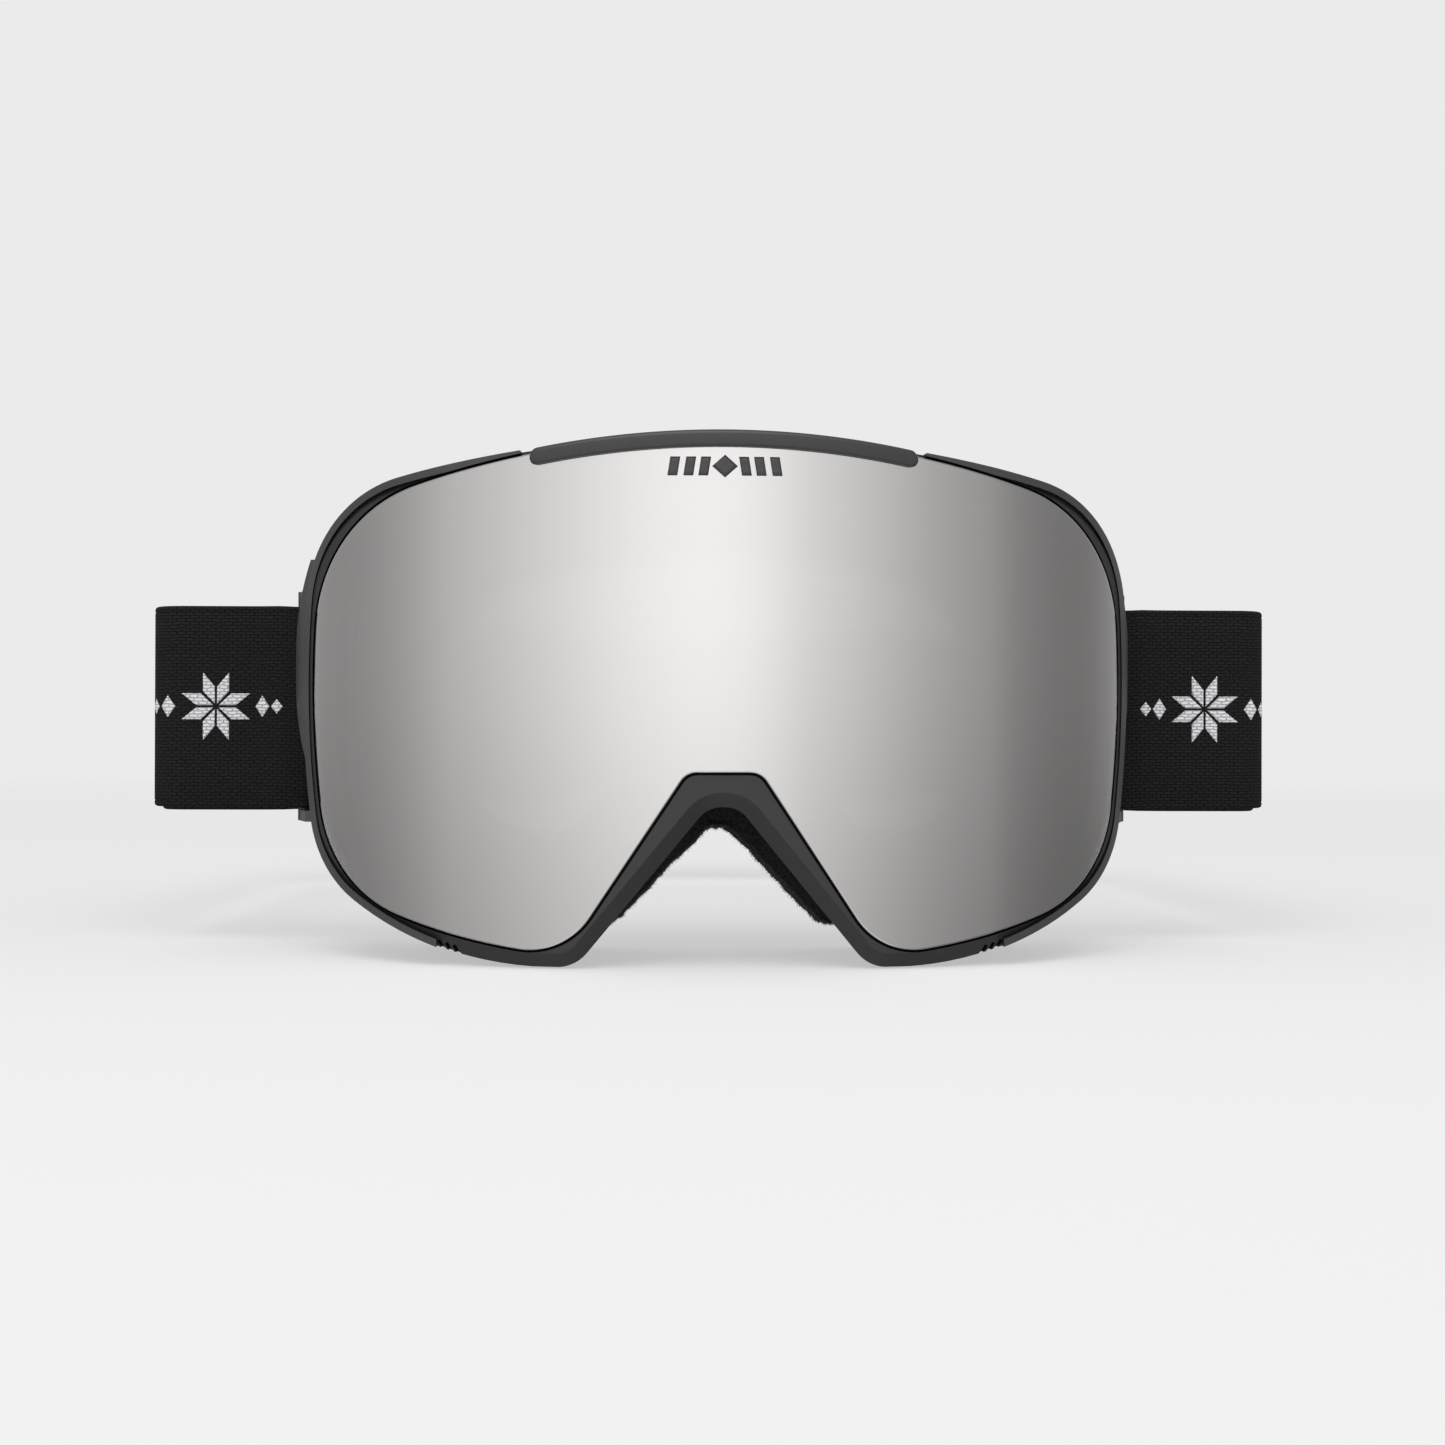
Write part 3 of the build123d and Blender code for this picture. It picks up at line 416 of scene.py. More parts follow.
def make_lens():
    """Each row is centre + share * (grown outline - centre), at the depth of the moved lens curve."""
    centre = np.array([0.0, 60.0])
    rows = lens_rows()
    flat = np.stack([centre + share * (goggle_outline(LENS_SHAPE, grow, 1.5) - centre)
                     for share, grow, _ in rows])
    inwards = rows[:, 2][:, None]
    x, z = flat[..., 0], flat[..., 1]
    body = placed(x, lens_depth(x, inwards), z)
    poles = placed(np.zeros(2), np.array([0.0, rows[-1, 2]]), np.full(2, centre[1]))
    count, around = body.shape[:2]
    i, j = quad_corners(count, around, False, True)
    faces = (i * around + j % around).tolist()
    k = np.arange(around)
    following = (k + 1) % around
    first = count * around
    faces += np.stack([np.full(around, first), following, k], axis=-1).tolist()
    last = (count - 1) * around
    faces += np.stack([np.full(around, first + 1), last + k, last + following], axis=-1).tolist()
    points = np.concatenate([body.reshape(-1, 3), poles])
    piece = new_piece("lens_silver", points, faces, lens_mirror, "lens_assembly")
    turn = lens_turn(x, inwards) * np.sign(x)
    out = np.stack([np.sin(turn), -np.cos(turn), np.zeros_like(x)], axis=-1)
    side = np.where(inwards < LENS_THICK / 2, 1.0, -1.0)
    flat_rows = (np.abs(inwards) < 1e-6) | (np.abs(inwards - LENS_THICK) < 1e-6)
    normals = np.where(flat_rows[..., None], out * side[..., None], 0.0).reshape(-1, 3)
    normals = np.concatenate([normals, [[0, -1, 0], [0, 1, 0]]])
    piece.data.normals_split_custom_set_from_vertices(normals.tolist())
    return piece


lens_silver = make_lens()
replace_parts(lens_silver, "outer_lens")
print("lens", len(lens_silver.data.polygons), "faces, depth, m", round(lens_silver.dimensions.y, 4))

# %% [markdown]
# ## A plain printed mark
# Goggles carry a small print under the brow. Here it is a plain ornament of a diamond between slanted
# bars, as film 0.05 mm thick that follows the lens, so it bends with the mirror.

# %% Print on the lens
FILM = 0.05
MARK_LEVEL = 101.4


def ornament():
    """Corners of each stroke as rows of (x, z) in mm: slanted bars, a diamond, slanted bars."""
    bar = np.array([[-1.0, -1.9], [1.0, -1.9], [1.6, 1.9], [-0.4, 1.9]])
    diamond = np.array([[0, -2.3], [2.6, 0], [0, 2.3], [-2.6, 0]])
    places = [-10.6, -7.4, -4.4]
    left = [bar + [x, 0] for x in places]
    right = [(bar * [-1, 1])[::-1] + [-x, 0] for x in places]
    return np.array(left + [diamond] + right)


def bilinear(corners, count):
    """Grid over four corners: each point is the mean of the corners weighted by its two shares."""
    u, v = np.meshgrid(np.linspace(0, 1, count), np.linspace(0, 1, count), indexing="ij")
    weights = np.stack([(1 - u) * (1 - v), u * (1 - v), u * v, (1 - u) * v], axis=-1)
    return weights @ corners


def plates(name, outlines, place, count, finish_):
    """Thin closed plates over quads: an outer and an inner grid joined round the rim. place turns
    (a, b, lift) into points."""
    points, faces = [], []
    for corners in outlines:
        first = sum(len(p) for p in points)
        grid = bilinear(corners, count)
        for lift in (FILM, 0.0):
            points.append(place(grid[..., 0], grid[..., 1], lift).reshape(-1, 3))
        i, j = quad_corners(count, count)
        face = first + i * count + j
        faces += face.tolist() + (face[:, ::-1] + count ** 2).tolist()
        k = np.arange(count)
        rim = np.concatenate([k * count, (count - 1) * count + k, k[::-1] * count + count - 1, k[::-1]])
        rim = rim[np.append(True, np.diff(rim) != 0)][:-1]
        ahead = np.roll(rim, -1)
        faces += (first + np.stack([rim, ahead, ahead + count ** 2, rim + count ** 2], axis=-1)).tolist()
    return new_piece(name, np.concatenate(points), faces, finish_)


def on_lens(x, z, lift):
    """The lens curve at width x, moved forwards by lift, at height z about the mark's level."""
    return placed(x, lens_depth(x) - lift, z + MARK_LEVEL)


lens_mark = plates("lens_mark", ornament(), on_lens, 5, print_ink)
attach(lens_mark, "lens_assembly")
print("mark width, m", round(lens_mark.dimensions.x, 4))

# %% [markdown]
# ## Brow grip
# A finger grip clips over the top edge of the lens. The real one has soft, rounded edges that catch
# the light, so it is swept again: one profile with rounded corners, carried from side to side along
# the brow, with its height shrinking at the ends as a quarter circle does.

# %% Grip profile carried along the brow
def make_grip(half=39.3, high=108.7, radius=210.0, height=3.4, proud=1.6, back=5.0, end_round=1.6):
    """Profile points are a depth and a height above one of three brow lines: the lip's lower edge,
    the grip's top, or the lens's top edge. Each line is a circle: centre + square root of r2 - x2."""
    tip = -half + end_round * (1 - np.cos(np.linspace(0, np.pi / 2, 9)))
    x = np.concatenate([tip, np.linspace(-half + end_round, half - end_round, 90)[1:-1], -tip[::-1]])
    end = np.clip((np.abs(x) - half + 1.5) / 1.5, 0, 0.995)
    shrink = 1.45 * (1 - np.sqrt(1 - end ** 2))
    top = high - radius + np.sqrt(radius ** 2 - x ** 2) - shrink
    low = high - height - radius + np.sqrt(radius ** 2 - x ** 2) + shrink
    lens_top = np.minimum(107.75 - 218 + np.sqrt(218.0 ** 2 - x ** 2), top - 0.1)
    q = np.linspace(0, np.pi / 2, 6)
    depth = np.concatenate([-proud + 0.6 - 0.6 * np.sin(q), -proud + 0.9 - 0.9 * np.cos(q),
                            back - 0.5 + 0.5 * np.sin(q), [back, -0.05, -0.05]])
    line = np.array([0] * 6 + [1] * 12 + [2, 2, 0])
    lift = np.concatenate([0.6 - 0.6 * np.cos(q), -0.9 + 0.9 * np.sin(q), -0.5 + 0.5 * np.cos(q), [0, 0, 0]])
    lines = np.stack([low, top, lens_top], axis=-1)
    z = lines[:, line] + lift
    x = x[:, None] * np.ones_like(z)
    points = placed(x, lens_depth(x, depth), z)
    return new_piece("brow_grip_soft", points, tube_faces(*z.shape), grip_plastic, "lens_assembly")


brow_grip = make_grip()
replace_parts(brow_grip, "brow_grip")
print("grip width, m", round(brow_grip.dimensions.x, 4))

# %% [markdown]
# ## Face padding
# Dense foam, soft foam and fleece are glued one on another. Cut foam swells at its free faces and
# pulls in at its glued edges, so each layer is a ring with a rounded, crowned section. The section
# runs round between the goggle's edge and the eye opening, point to point. Slow waves keep the free
# edge from looking machined. A worked-out surface keeps the glue lines exact, which a cloth
# simulation would blur.

# %% Padding ring
def ring_section(thick, corner, bulge, crown):
    """One section from the outer edge to the eye opening, as (base, offset in mm, depth in mm): base
    is a share of the way across, offset is added to it, and corners are quarter circles."""
    q = np.linspace(0, np.pi / 2, 5)
    side = np.linspace(corner, thick - corner, 6)[1:-1]
    swell = -bulge * np.sin(np.pi * side / thick)
    lip = corner * (1 - np.cos(q))
    share = np.linspace(0.12, 0.88, 11)
    base = np.concatenate([np.zeros(14), share, np.ones(14)])
    outer_offset = np.concatenate([corner * (1 - np.sin(q)), swell, lip])
    outer_depth = np.concatenate([lip, side, thick - corner * (1 - np.sin(q))])
    offset = np.concatenate([outer_offset, np.zeros(11), -outer_offset[::-1]])
    face = thick + crown * (np.sin(np.pi * share) - 0.2)
    depth = np.concatenate([outer_depth, face, outer_depth[::-1]])
    return base, offset, depth


def padding_ring(name, grow, front, thick, corner, bulge, crown, wave, finish_):
    """Closed ring between padding outline and eye opening: P = outer + (inner - outer) * (base +
    offset / width), at the lens curve's depth plus its own. Returns the piece and its point grid."""
    outer = goggle_outline(FOAM_SHAPE, grow, 1.6)
    inner = goggle_outline(EYE_SHAPE, 0.0, 1.6)
    width = np.hypot(*(inner - outer).T)[:, None]
    base, offset, depth = ring_section(thick, corner, bulge, crown)
    along = np.linspace(0, 2 * np.pi, len(outer), endpoint=False)[:, None]
    ripple = wave * (np.sin(23 * along + 1) + 0.7 * np.sin(41 * along) + 0.6 * np.sin(97 * along + 2))
    share = base + (offset + ripple * (1 - base)) / width
    flat = outer[:, None] + (inner - outer)[:, None] * share[..., None]
    x, z = flat[..., 0], flat[..., 1]
    grid = placed(x, lens_depth(x) + front + depth, z)
    piece = new_piece(name, grid, tube_faces(*grid.shape[:2], True), finish_, "goggle_frame")
    return piece, grid


dense_ring, dense_grid = padding_ring("padding_dense", -1.0, 28.05, 7.95, 0.5, 0.25, 0.0, 0.10, dense_foam)
soft_ring, soft_grid = padding_ring("padding_soft", -0.6, 36.05, 9.95, 1.6, 0.8, 0.0, 0.15, soft_foam)
fleece_ring, fleece_grid = padding_ring("padding_fleece", -0.4, 46.05, 2.0, 0.9, 0.2, 0.9, 0.15, fleece)
rings = (dense_ring, soft_ring, fleece_ring)
for ring, node_name, slot in zip(rings, ("face_foam_base", "face_foam_soft", "face_fleece"),
                                 ("dense_foam", "soft_foam", "fleece")):
    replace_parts(ring, node_name)
print("padding faces", [len(ring.data.polygons) for ring in rings])

# %% [markdown]
# ## Nap
# Around the nose the padding is brushed, and its short hairs break the edge up. Each hair is a thin
# three-sided spike rooted at random on a padding ring and leaning at random off its surface. Real
# geometry keeps the ragged edge from every side, and a fixed seed gives the same hairs each time.

# %% Hairs on the padding
def spikes(name, grids, keep, count, length, finish_, seed):
    """Hairs as triangular spikes: root = point of the ring between grid points, direction = ring
    normal + random lean, tip = root + length * direction."""
    rng = np.random.default_rng(seed)
    tips, feet = [], []
    for grid in grids:
        rows, columns = grid.shape[:2]
        i, j = rng.integers(0, rows, count), rng.integers(0, columns - 1, count)
        a, b = rng.random((2, count, 1))
        here = grid[i, j]
        along, across = grid[(i + 1) % rows, j] - here, grid[i, j + 1] - here
        root = here + a * along + b * across
        out = np.cross(along, across)
        out /= np.linalg.norm(out, axis=1, keepdims=True) + 1e-12
        middle = grid.mean(axis=1)[i]
        out *= np.sign(np.sum(out * (root - middle), axis=1, keepdims=True))
        wanted = keep(root, out)
        root, out = root[wanted], out[wanted]
        lean = out + 0.75 * rng.normal(size=root.shape)
        lean /= np.linalg.norm(lean, axis=1, keepdims=True)
        lean *= np.sign(np.sum(lean * out, axis=1, keepdims=True))
        side = np.cross(lean, out + 0.3)
        side /= np.linalg.norm(side, axis=1, keepdims=True) + 1e-12
        other = np.cross(lean, side)
        turn = np.array([0, 2, 4]) * np.pi / 3
        ring = side[:, None] * np.cos(turn)[:, None] + other[:, None] * np.sin(turn)[:, None]
        feet.append(root[:, None] - 0.0001 * out[:, None] + 0.00007 * ring)
        tips.append(root + length * (0.4 + rng.random((len(root), 1))) * lean)
    points = np.concatenate([np.concatenate(feet), np.concatenate(tips)[:, None]], axis=1)
    first = 4 * np.arange(len(points))[:, None]
    faces = np.concatenate([first + np.array(f) for f in ([0, 1, 3], [1, 2, 3], [2, 0, 3], [0, 2, 1])])
    piece = new_piece(name, points, faces.tolist(), finish_, "goggle_frame")
    print(name, len(points), "hairs")
    return piece


def near_nose(root, out):
    """Roots low in the middle, where the nose sits."""
    return (np.abs(root[:, 0]) < 0.036) & (root[:, 2] < 0.046) & (out[:, 1] < 0.75)


def facing_skin(root, out):
    """Roots on the face side of the fleece and on its rolled edges."""
    return out[:, 1] > -0.2


nose_nap = spikes("nose_nap", [dense_grid, soft_grid], near_nose, 60000, 0.0007, fleece, 4)
fleece_nap = spikes("fleece_nap", [fleece_grid], facing_skin, 16000, 0.0006, fleece, 9)

# %% [markdown]
# ## Vent foam and side mesh
# Open foam strips sit behind the vent slots, and a woven mesh covers the pinholes beside the eyes.
# The strips follow the inside of the frame's wall. Their cells are pushed in and out by noise on a
# fine grid. The mesh is woven from thin wires that pass over and under each other.

# %% Vent foam strips
def edge_height(shape, grow, x, upper):
    """Height of an outline at width x, on its upper or its lower side, between its points."""
    edge = goggle_outline(shape, grow, 2.0)
    part = edge[(edge[:, 1] > 70) if upper else ((edge[:, 1] < 40) & (np.abs(edge[:, 0]) > 26))]
    part = part[np.argsort(part[:, 0])]
    return np.interp(x, part[:, 0], part[:, 1])


def vent_strip(name, low_x, high_x, upper, seed):
    """Rounded bar between two inward copies of the wall's outline, from behind the front ring to the
    face flange, its faces pushed by random amounts."""
    x = np.linspace(low_x, high_x, 150)[:, None]
    turn = np.linspace(0, 2 * np.pi, 48, endpoint=False)
    round_ = 0.22
    depth = 17.5 + 8.3 * np.sign(np.cos(turn)) * np.abs(np.cos(turn)) ** round_
    share = 0.5 + 0.48 * np.sign(np.sin(turn)) * np.abs(np.sin(turn)) ** round_
    wall = edge_height(WALL_SHAPE, -2.1, x, upper)
    inner = edge_height(WALL_SHAPE, -4.5, x, upper)
    rough = np.random.default_rng(seed).normal(size=(len(x), len(turn))) * 0.07
    z = wall + (inner - wall) * share + rough
    spread = x + 0 * z
    grid = placed(spread, lens_depth(spread) + depth + rough, z)
    piece = new_piece(name, grid, tube_faces(*z.shape), vent_foam, "goggle_frame")
    return piece


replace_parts(vent_strip("vent_strip_top", -57.8, 57.8, True, 1), "top_vent_foam")
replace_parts(vent_strip("vent_strip_low_right", 30.2, 71.0, False, 2), "bottom_vent_foam_right")
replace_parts(vent_strip("vent_strip_low_left", -71.0, -30.2, False, 3), "bottom_vent_foam_left")

# %% Wires of the side mesh
def tubes(paths, radius, sides):
    """Thin round tubes along many paths (k, n, 3) at once: centre + radius * (cosine * one normal +
    sine * the other). Returns points and faces, with both ends of each tube closed."""
    along = np.gradient(paths, axis=1)
    along /= np.linalg.norm(along, axis=-1, keepdims=True)
    across = np.cross(along, np.array([0.31, 0.83, 0.46]))
    across /= np.linalg.norm(across, axis=-1, keepdims=True)
    third = np.cross(along, across)
    turn = np.linspace(0, 2 * np.pi, sides, endpoint=False)[:, None]
    ring = across[:, :, None] * np.cos(turn) + third[:, :, None] * np.sin(turn)
    points = paths[:, :, None] + radius * ring
    count, rows = paths.shape[:2]
    faces = [face for k in range(count) for face in tube_faces(rows, sides, first=k * rows * sides)]
    return points.reshape(-1, 3), faces


def make_mesh(name, side):
    """Wires over a field between two edges: width = low + share * (high - low), and a wave in depth
    that changes sign from wire to wire."""
    down = np.linspace(0, 1, 60)
    upright = np.linspace(0.02, 0.98, 9)
    low, widest, level_of_widest = 70.5, 78.3, 57.5

    def field(share, level, wave):
        z = 32.9 + 49.2 * level
        high = np.minimum(widest - (z - level_of_widest) ** 2 / 396, widest - 0.1)
        x = low + (high - low) * share
        return placed(side * x, lens_depth(x) + 25.62 + wave, z)

    phase = np.arange(9)[:, None] * np.pi
    uprights = field(upright[:, None], down, 0.10 * np.sin(down * np.pi * 30 + phase))
    levels = np.linspace(0.005, 0.995, 60)[:, None]
    over = np.linspace(0, 1, 17)
    cross = field(over, levels, 0.10 * np.cos(over * np.pi * 8 + np.arange(60)[:, None] * np.pi))
    points_a, faces_a = tubes(uprights, 0.00014, 5)
    points_b, faces_b = tubes(cross, 0.00014, 5)
    faces_b = [[corner + len(points_a) for corner in face] for face in faces_b]
    piece = new_piece(name, np.concatenate([points_a, points_b]), faces_a + faces_b, vent_mesh,
                      "goggle_frame")
    return piece


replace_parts(make_mesh("cheek_mesh_right", 1), "side_mesh_right")
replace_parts(make_mesh("cheek_mesh_left", -1), "side_mesh_left")

# %% [markdown]
# ## The strap
# One wide elastic runs from arm to arm: it turns round the arm's bar, folds back on itself and is
# sewn, so it is double at the sides, and each doubled end is sewn to an adjuster. Every run is a flat
# band carried along its path from above.

# %% Paths with rounded corners
def rounded_path(corners, radii, spacing=0.6):
    """Points at even spacing along straight runs joined by arcs: each corner is cut back by r times
    the tangent of half its turn, and the arc goes round from one cut to the other."""
    corners = np.array(corners, float)
    runs = [corners[:1]]
    for before, corner, after, radius in zip(corners[:-2], corners[1:-1], corners[2:], radii):
        one = (before - corner) / np.hypot(*(before - corner))
        two = (after - corner) / np.hypot(*(after - corner))
        half = np.arccos(np.clip(one @ two, -1, 1)) / 2
        cut = radius / np.tan(half)
        centre = corner + (one + two) / np.hypot(*(one + two)) * radius / np.sin(half)
        runs += [arc(centre, radius, corner + one * cut, corner + two * cut, 40), (corner + two * cut)[None]]
    path = np.concatenate(runs + [corners[-1:]])
    length = np.append(0, np.cumsum(np.hypot(*np.diff(path, axis=0).T)))
    even = np.linspace(0, length[-1], int(length[-1] / spacing) + 2)
    return np.stack([np.interp(even, length, path[:, 0]), np.interp(even, length, path[:, 1])], axis=-1), even


BAR_DEPTH = 62.5
STRAP_MID = 52.5
FOLD_X = (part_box("strap_webbing")[1].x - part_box("strap_webbing")[0].x) * 500.0 - 0.8
SAG = np.radians(1.0)


def hang(x, depth, z):
    """The strap's own droop: a turn by SAG about the level line through both strap bars."""
    back, up = depth - BAR_DEPTH, z - STRAP_MID
    return placed(x, BAR_DEPTH + back * np.cos(SAG) + up * np.sin(SAG),
                  STRAP_MID - back * np.sin(SAG) + up * np.cos(SAG))


FOLD_BACK = 76.6            # depth at which the arm run hands over to the outer and inner layers
BACK_RUN = 239.0
front_corners = [(FOLD_X - 0.85, FOLD_BACK), (FOLD_X, 61.55), (102.0, 61.55), (97.0, 60.15), (89.55, 60.15),
                 (89.55, 64.85), (97.0, 64.85), (102.0, 63.45), (FOLD_X - 1.9, 63.45),
                 (FOLD_X - 2.75, FOLD_BACK)]
front_path, front_length = rounded_path(front_corners, (7, 10, 10, 2.33, 2.33, 10, 10, 5.1), 0.35)
outer_path, outer_length = rounded_path([(FOLD_X - 0.85, FOLD_BACK), (FOLD_X - 10, BACK_RUN),
                                          (10 - FOLD_X, BACK_RUN), (0.85 - FOLD_X, FOLD_BACK)], (38, 38))
inner_path, inner_length = rounded_path([(FOLD_X - 2.75, FOLD_BACK), (FOLD_X - 11.9, BACK_RUN - 1.9),
                                          (79, BACK_RUN - 1.9), (69, 235.6), (47, 235.6)], (36.1, 25, 25))
lengths = {"arm": front_length, "outer": outer_length, "inner": inner_length}
print("runs, mm:", {name: float(length[-1].round(1)) for name, length in lengths.items()})

# %% Webbing band
def band_section(half=22.5, thick=0.8):
    """Section of the webbing, (offset, height): flat faces with a shallow groove 1.4 mm inside each
    edge, and half-round edges."""
    q = np.linspace(-np.pi / 2, np.pi / 2, 7)
    across = np.array([21.4, 21.15, 20.9, 14, 7, 0, -7, -14, -20.9, -21.15, -21.4])
    face = np.full(len(across), thick) - np.isin(np.abs(across), [21.15]) * 0.14
    top = np.stack([thick * np.sin(q), half - thick + thick * np.cos(q)], axis=-1)
    outer = np.stack([face, across], axis=-1)
    return np.concatenate([top, outer, -top, -outer])


def directions(path):
    """Unit directions along a path: differences between neighbours over their length."""
    along = np.gradient(path, axis=0)
    return along / np.hypot(*along.T)[:, None]


def band_grid(path, side=1.0, drop=0.0):
    """Band points: path + offset along the path's normal, at the section's heights, then hung."""
    along = directions(path)
    section = band_section()
    x = path[:, :1] - along[:, 1:] * section[:, 0]
    depth = path[:, 1:] + along[:, :1] * section[:, 0]
    z = STRAP_MID + section[:, 1] - np.asarray(drop).reshape(-1, 1)
    return hang(side * x, depth, z + 0 * x)


def set_cloth(piece, domain, cloth):
    """Writes the attribute "cloth": places on the flat cloth, in metres."""
    field = piece.data.attributes.new("cloth", "FLOAT_VECTOR", domain)
    field.data.foreach_set("vector", cloth.ravel())


def webbing(name, path, length, side=1.0, drop=0.0, start=0.0):
    """A band with the attribute "cloth": metres along the path, and metres round the section."""
    grid = band_grid(path, side, drop)
    rows, columns = grid.shape[:2]
    piece = new_piece(name, grid, tube_faces(rows, columns), strap_elastic)
    section = band_section()
    step = np.hypot(*(np.roll(section, -1, axis=0) - section).T)
    round_ = np.append(0, np.cumsum(step)) * 0.001
    corners = np.empty(len(piece.data.loops), np.int32)
    piece.data.loops.foreach_get("vertex_index", corners)
    row, column = corners // columns, corners % columns
    face_of = np.repeat(np.arange(len(piece.data.polygons)), [p.loop_total for p in piece.data.polygons])
    last_side = np.bincount(face_of, column == columns - 1)[face_of] > 0
    small = np.bincount(face_of)[face_of] == 4
    column = np.where(last_side & small & (column == 0), columns, column)
    set_cloth(piece, "CORNER", np.stack([length[row] * 0.001 + start, round_[column], 0.0 * row], axis=-1))
    return piece


# %% All the runs of the strap
outer_run = webbing("webbing_outer", outer_path, outer_length)
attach(outer_run, "goggle_frame")
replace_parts(outer_run, "strap_webbing")
front_level = hang(np.array([97.0, 120.0]), np.array([61.5, 61.5]), np.array([52.5, 52.5]))
back_level = hang(np.array([104.0, 66.0]), np.array([237.1, 237.1]), np.array([52.5, 52.5]))
doubled = np.clip((front_length - front_length[-1] * 0.42) / 18.0, 0, 1) * 0.7
for side, word in ((1, "right"), (-1, "left")):
    arm_run = webbing("webbing_arm_" + word, front_path, front_length, side, doubled, 0.4)
    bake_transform(arm_run)
    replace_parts(arm_run, "strap_end_" + word)
    inner_run = webbing("webbing_inner_" + word, inner_path, inner_length, side, 0.7, 0.7)
    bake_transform(inner_run)
    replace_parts(inner_run, "strap_inner_" + word, "strap_tail_" + word)

# %% [markdown]
# ## Knitted motif
# A white pattern is knitted into each side of the strap: here a plain eight-pointed star between
# small diamonds. Each stroke is a thin plate worked out in cloth coordinates and laid on the band's
# path, so it turns the fold with the webbing.

# %% Star and diamonds on the band
def star_strokes():
    """Eight slanted petals round a centre, and diamonds beside them, as corners (along, across)."""
    petal = np.array([[0.25, 0.6], [2.9, 3.4], [2.9, 7.6], [0.25, 4.4]])
    swap = petal[:, ::-1]
    petals = [shape * [sx, sy] for shape in (petal, swap) for sx in (1, -1) for sy in (1, -1)]
    small = np.array([[0, -1.6], [1.3, 0], [0, 1.6], [-1.3, 0]])
    large = np.array([[0, -2.4], [1.7, 0], [0, 2.4], [-1.7, 0]])
    extra = [large + [10.6, 0], small + [14.4, 0], large + [-10.6, 0], small + [-14.0, 0]]
    return petals + extra


def on_band(side):
    """Returns a function that lays (along, across, lift) on the outer face of the arm run."""
    along = directions(front_path)
    middle = front_length[np.argmin(np.abs(front_path[:, 0] - 111.5) + (front_path[:, 1] > 62) * 99)]

    def lay(a, b, lift):
        s = middle - a
        x, depth, tx, td = (np.interp(s, front_length, values) for values in (*front_path.T, *along.T))
        off = 0.78 + lift * 3.0
        return hang(side * (x - td * off), depth + tx * off, b + STRAP_MID)

    return lay


for side, word in ((1, "right"), (-1, "left")):
    motif = plates("motif_" + word, star_strokes(), on_band(side), 7, motif_yarn)
    place = np.empty(len(motif.data.vertices) * 3)
    motif.data.vertices.foreach_get("co", place)
    set_cloth(motif, "POINT", place.reshape(-1, 3)[:, [0, 2, 1]] * [1, 1, 0])
    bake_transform(motif)
print("motif spans, m", [round(d, 4) for d in motif.dimensions])

# %% [markdown]
# ## Silicone lines and sewing
# Three silicone beads inside the back run keep the strap on a helmet. The doubled ends are held by
# rows of short stitches. Both are rounded forms that lie on the band.

# %% Silicone beads
def make_beads():
    """Half-round bars with tapering ends: height follows the square root of 1 - share squared."""
    x = np.linspace(-22, 22, 90)
    taper = np.sqrt(1 - np.clip((np.abs(x) - 21) / 1.0, 0, 0.999) ** 2)[:, None]
    turn = np.linspace(0, 2 * np.pi, 14, endpoint=False)
    bead = np.stack([np.cos(turn) * 1.0, np.maximum(np.sin(turn), -0.15) * 0.5], axis=-1)
    inner_face = 238.17
    points, faces = [], []
    for k, level in enumerate((40.5, 52.5, 64.5)):
        z = level + taper * bead[:, 0]
        depth = inner_face - taper * bead[:, 1]
        points.append(hang(x[:, None] + 0 * z, depth, z).reshape(-1, 3))
        faces += tube_faces(len(x), len(turn), first=k * z.size)
    piece = new_piece("silicone_beads", np.concatenate(points), faces, silicone, "goggle_frame")
    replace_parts(piece, "silicone_grip")


make_beads()


# %% Stitch rows at the adjusters
def stitch_rows(name, x_places, depth, body, side):
    """Zigzag thread: short tubes that slant one way and then the other up the band."""
    z = np.linspace(-20.5, 20.5, 42)
    ends = np.stack([z[:-1], z[1:]], axis=-1)
    zig = np.where(np.arange(41)[:, None] % 2, [0.6, -0.6], [-0.6, 0.6])
    paths = np.concatenate([hang(side * (x + zig), np.full_like(ends, depth), STRAP_MID - 0.7 + ends)
                            for x in x_places])
    points, faces = tubes(paths, 0.00022, 6)
    return new_piece(name, points, faces, thread, body)


for side, word in ((1, "right"), (-1, "left")):
    stitch_rows("stitches_" + word, (52.5, 57.5), 234.75, "slider_" + word, side)

# %% [markdown]
# ## Stage, light and camera
# The goggles stand on a pale floor that fades into an even pale surround, under one large soft light.
# A mirror shows its surroundings, so the surround is brightest in front and greyer at the sides. The
# camera stands low in front, a little to the left.

# %% Floor that fades into the surround
SURROUND = 0.83
floor_finish, tree, shader = finish("studio_floor", (0.42, 0.42, 0.425), 0.9, Emission_Strength=0.47,
                                    Emission_Color=(1, 1, 1, 1), Specular_IOR_Level=0.0)
where = add_node(tree, "TexCoord")
reach = add_node(tree, "VectorMath", operation="LENGTH")
fade = add_node(tree, "MapRange", {"From Min": 0.35, "From Max": 1.1, "To Min": 1.0, "To Max": 0.0})
wire(tree, (where, "Object", reach, 0), (reach, "Value", fade, "Value"), (fade, "Result", shader, "Alpha"))
FLOOR_R = 1.2
angles = np.linspace(0, 2 * np.pi, 96, endpoint=False)
rim = np.stack([FLOOR_R * np.cos(angles), FLOOR_R * np.sin(angles), np.full(96, -0.0003)], axis=-1)
floor = new_piece("floor", rim, [list(range(96))], floor_finish, stage=True)
if floor.data.polygons[0].normal.z < 0:
    floor.data.flip_normals()
floor.visible_glossy = False
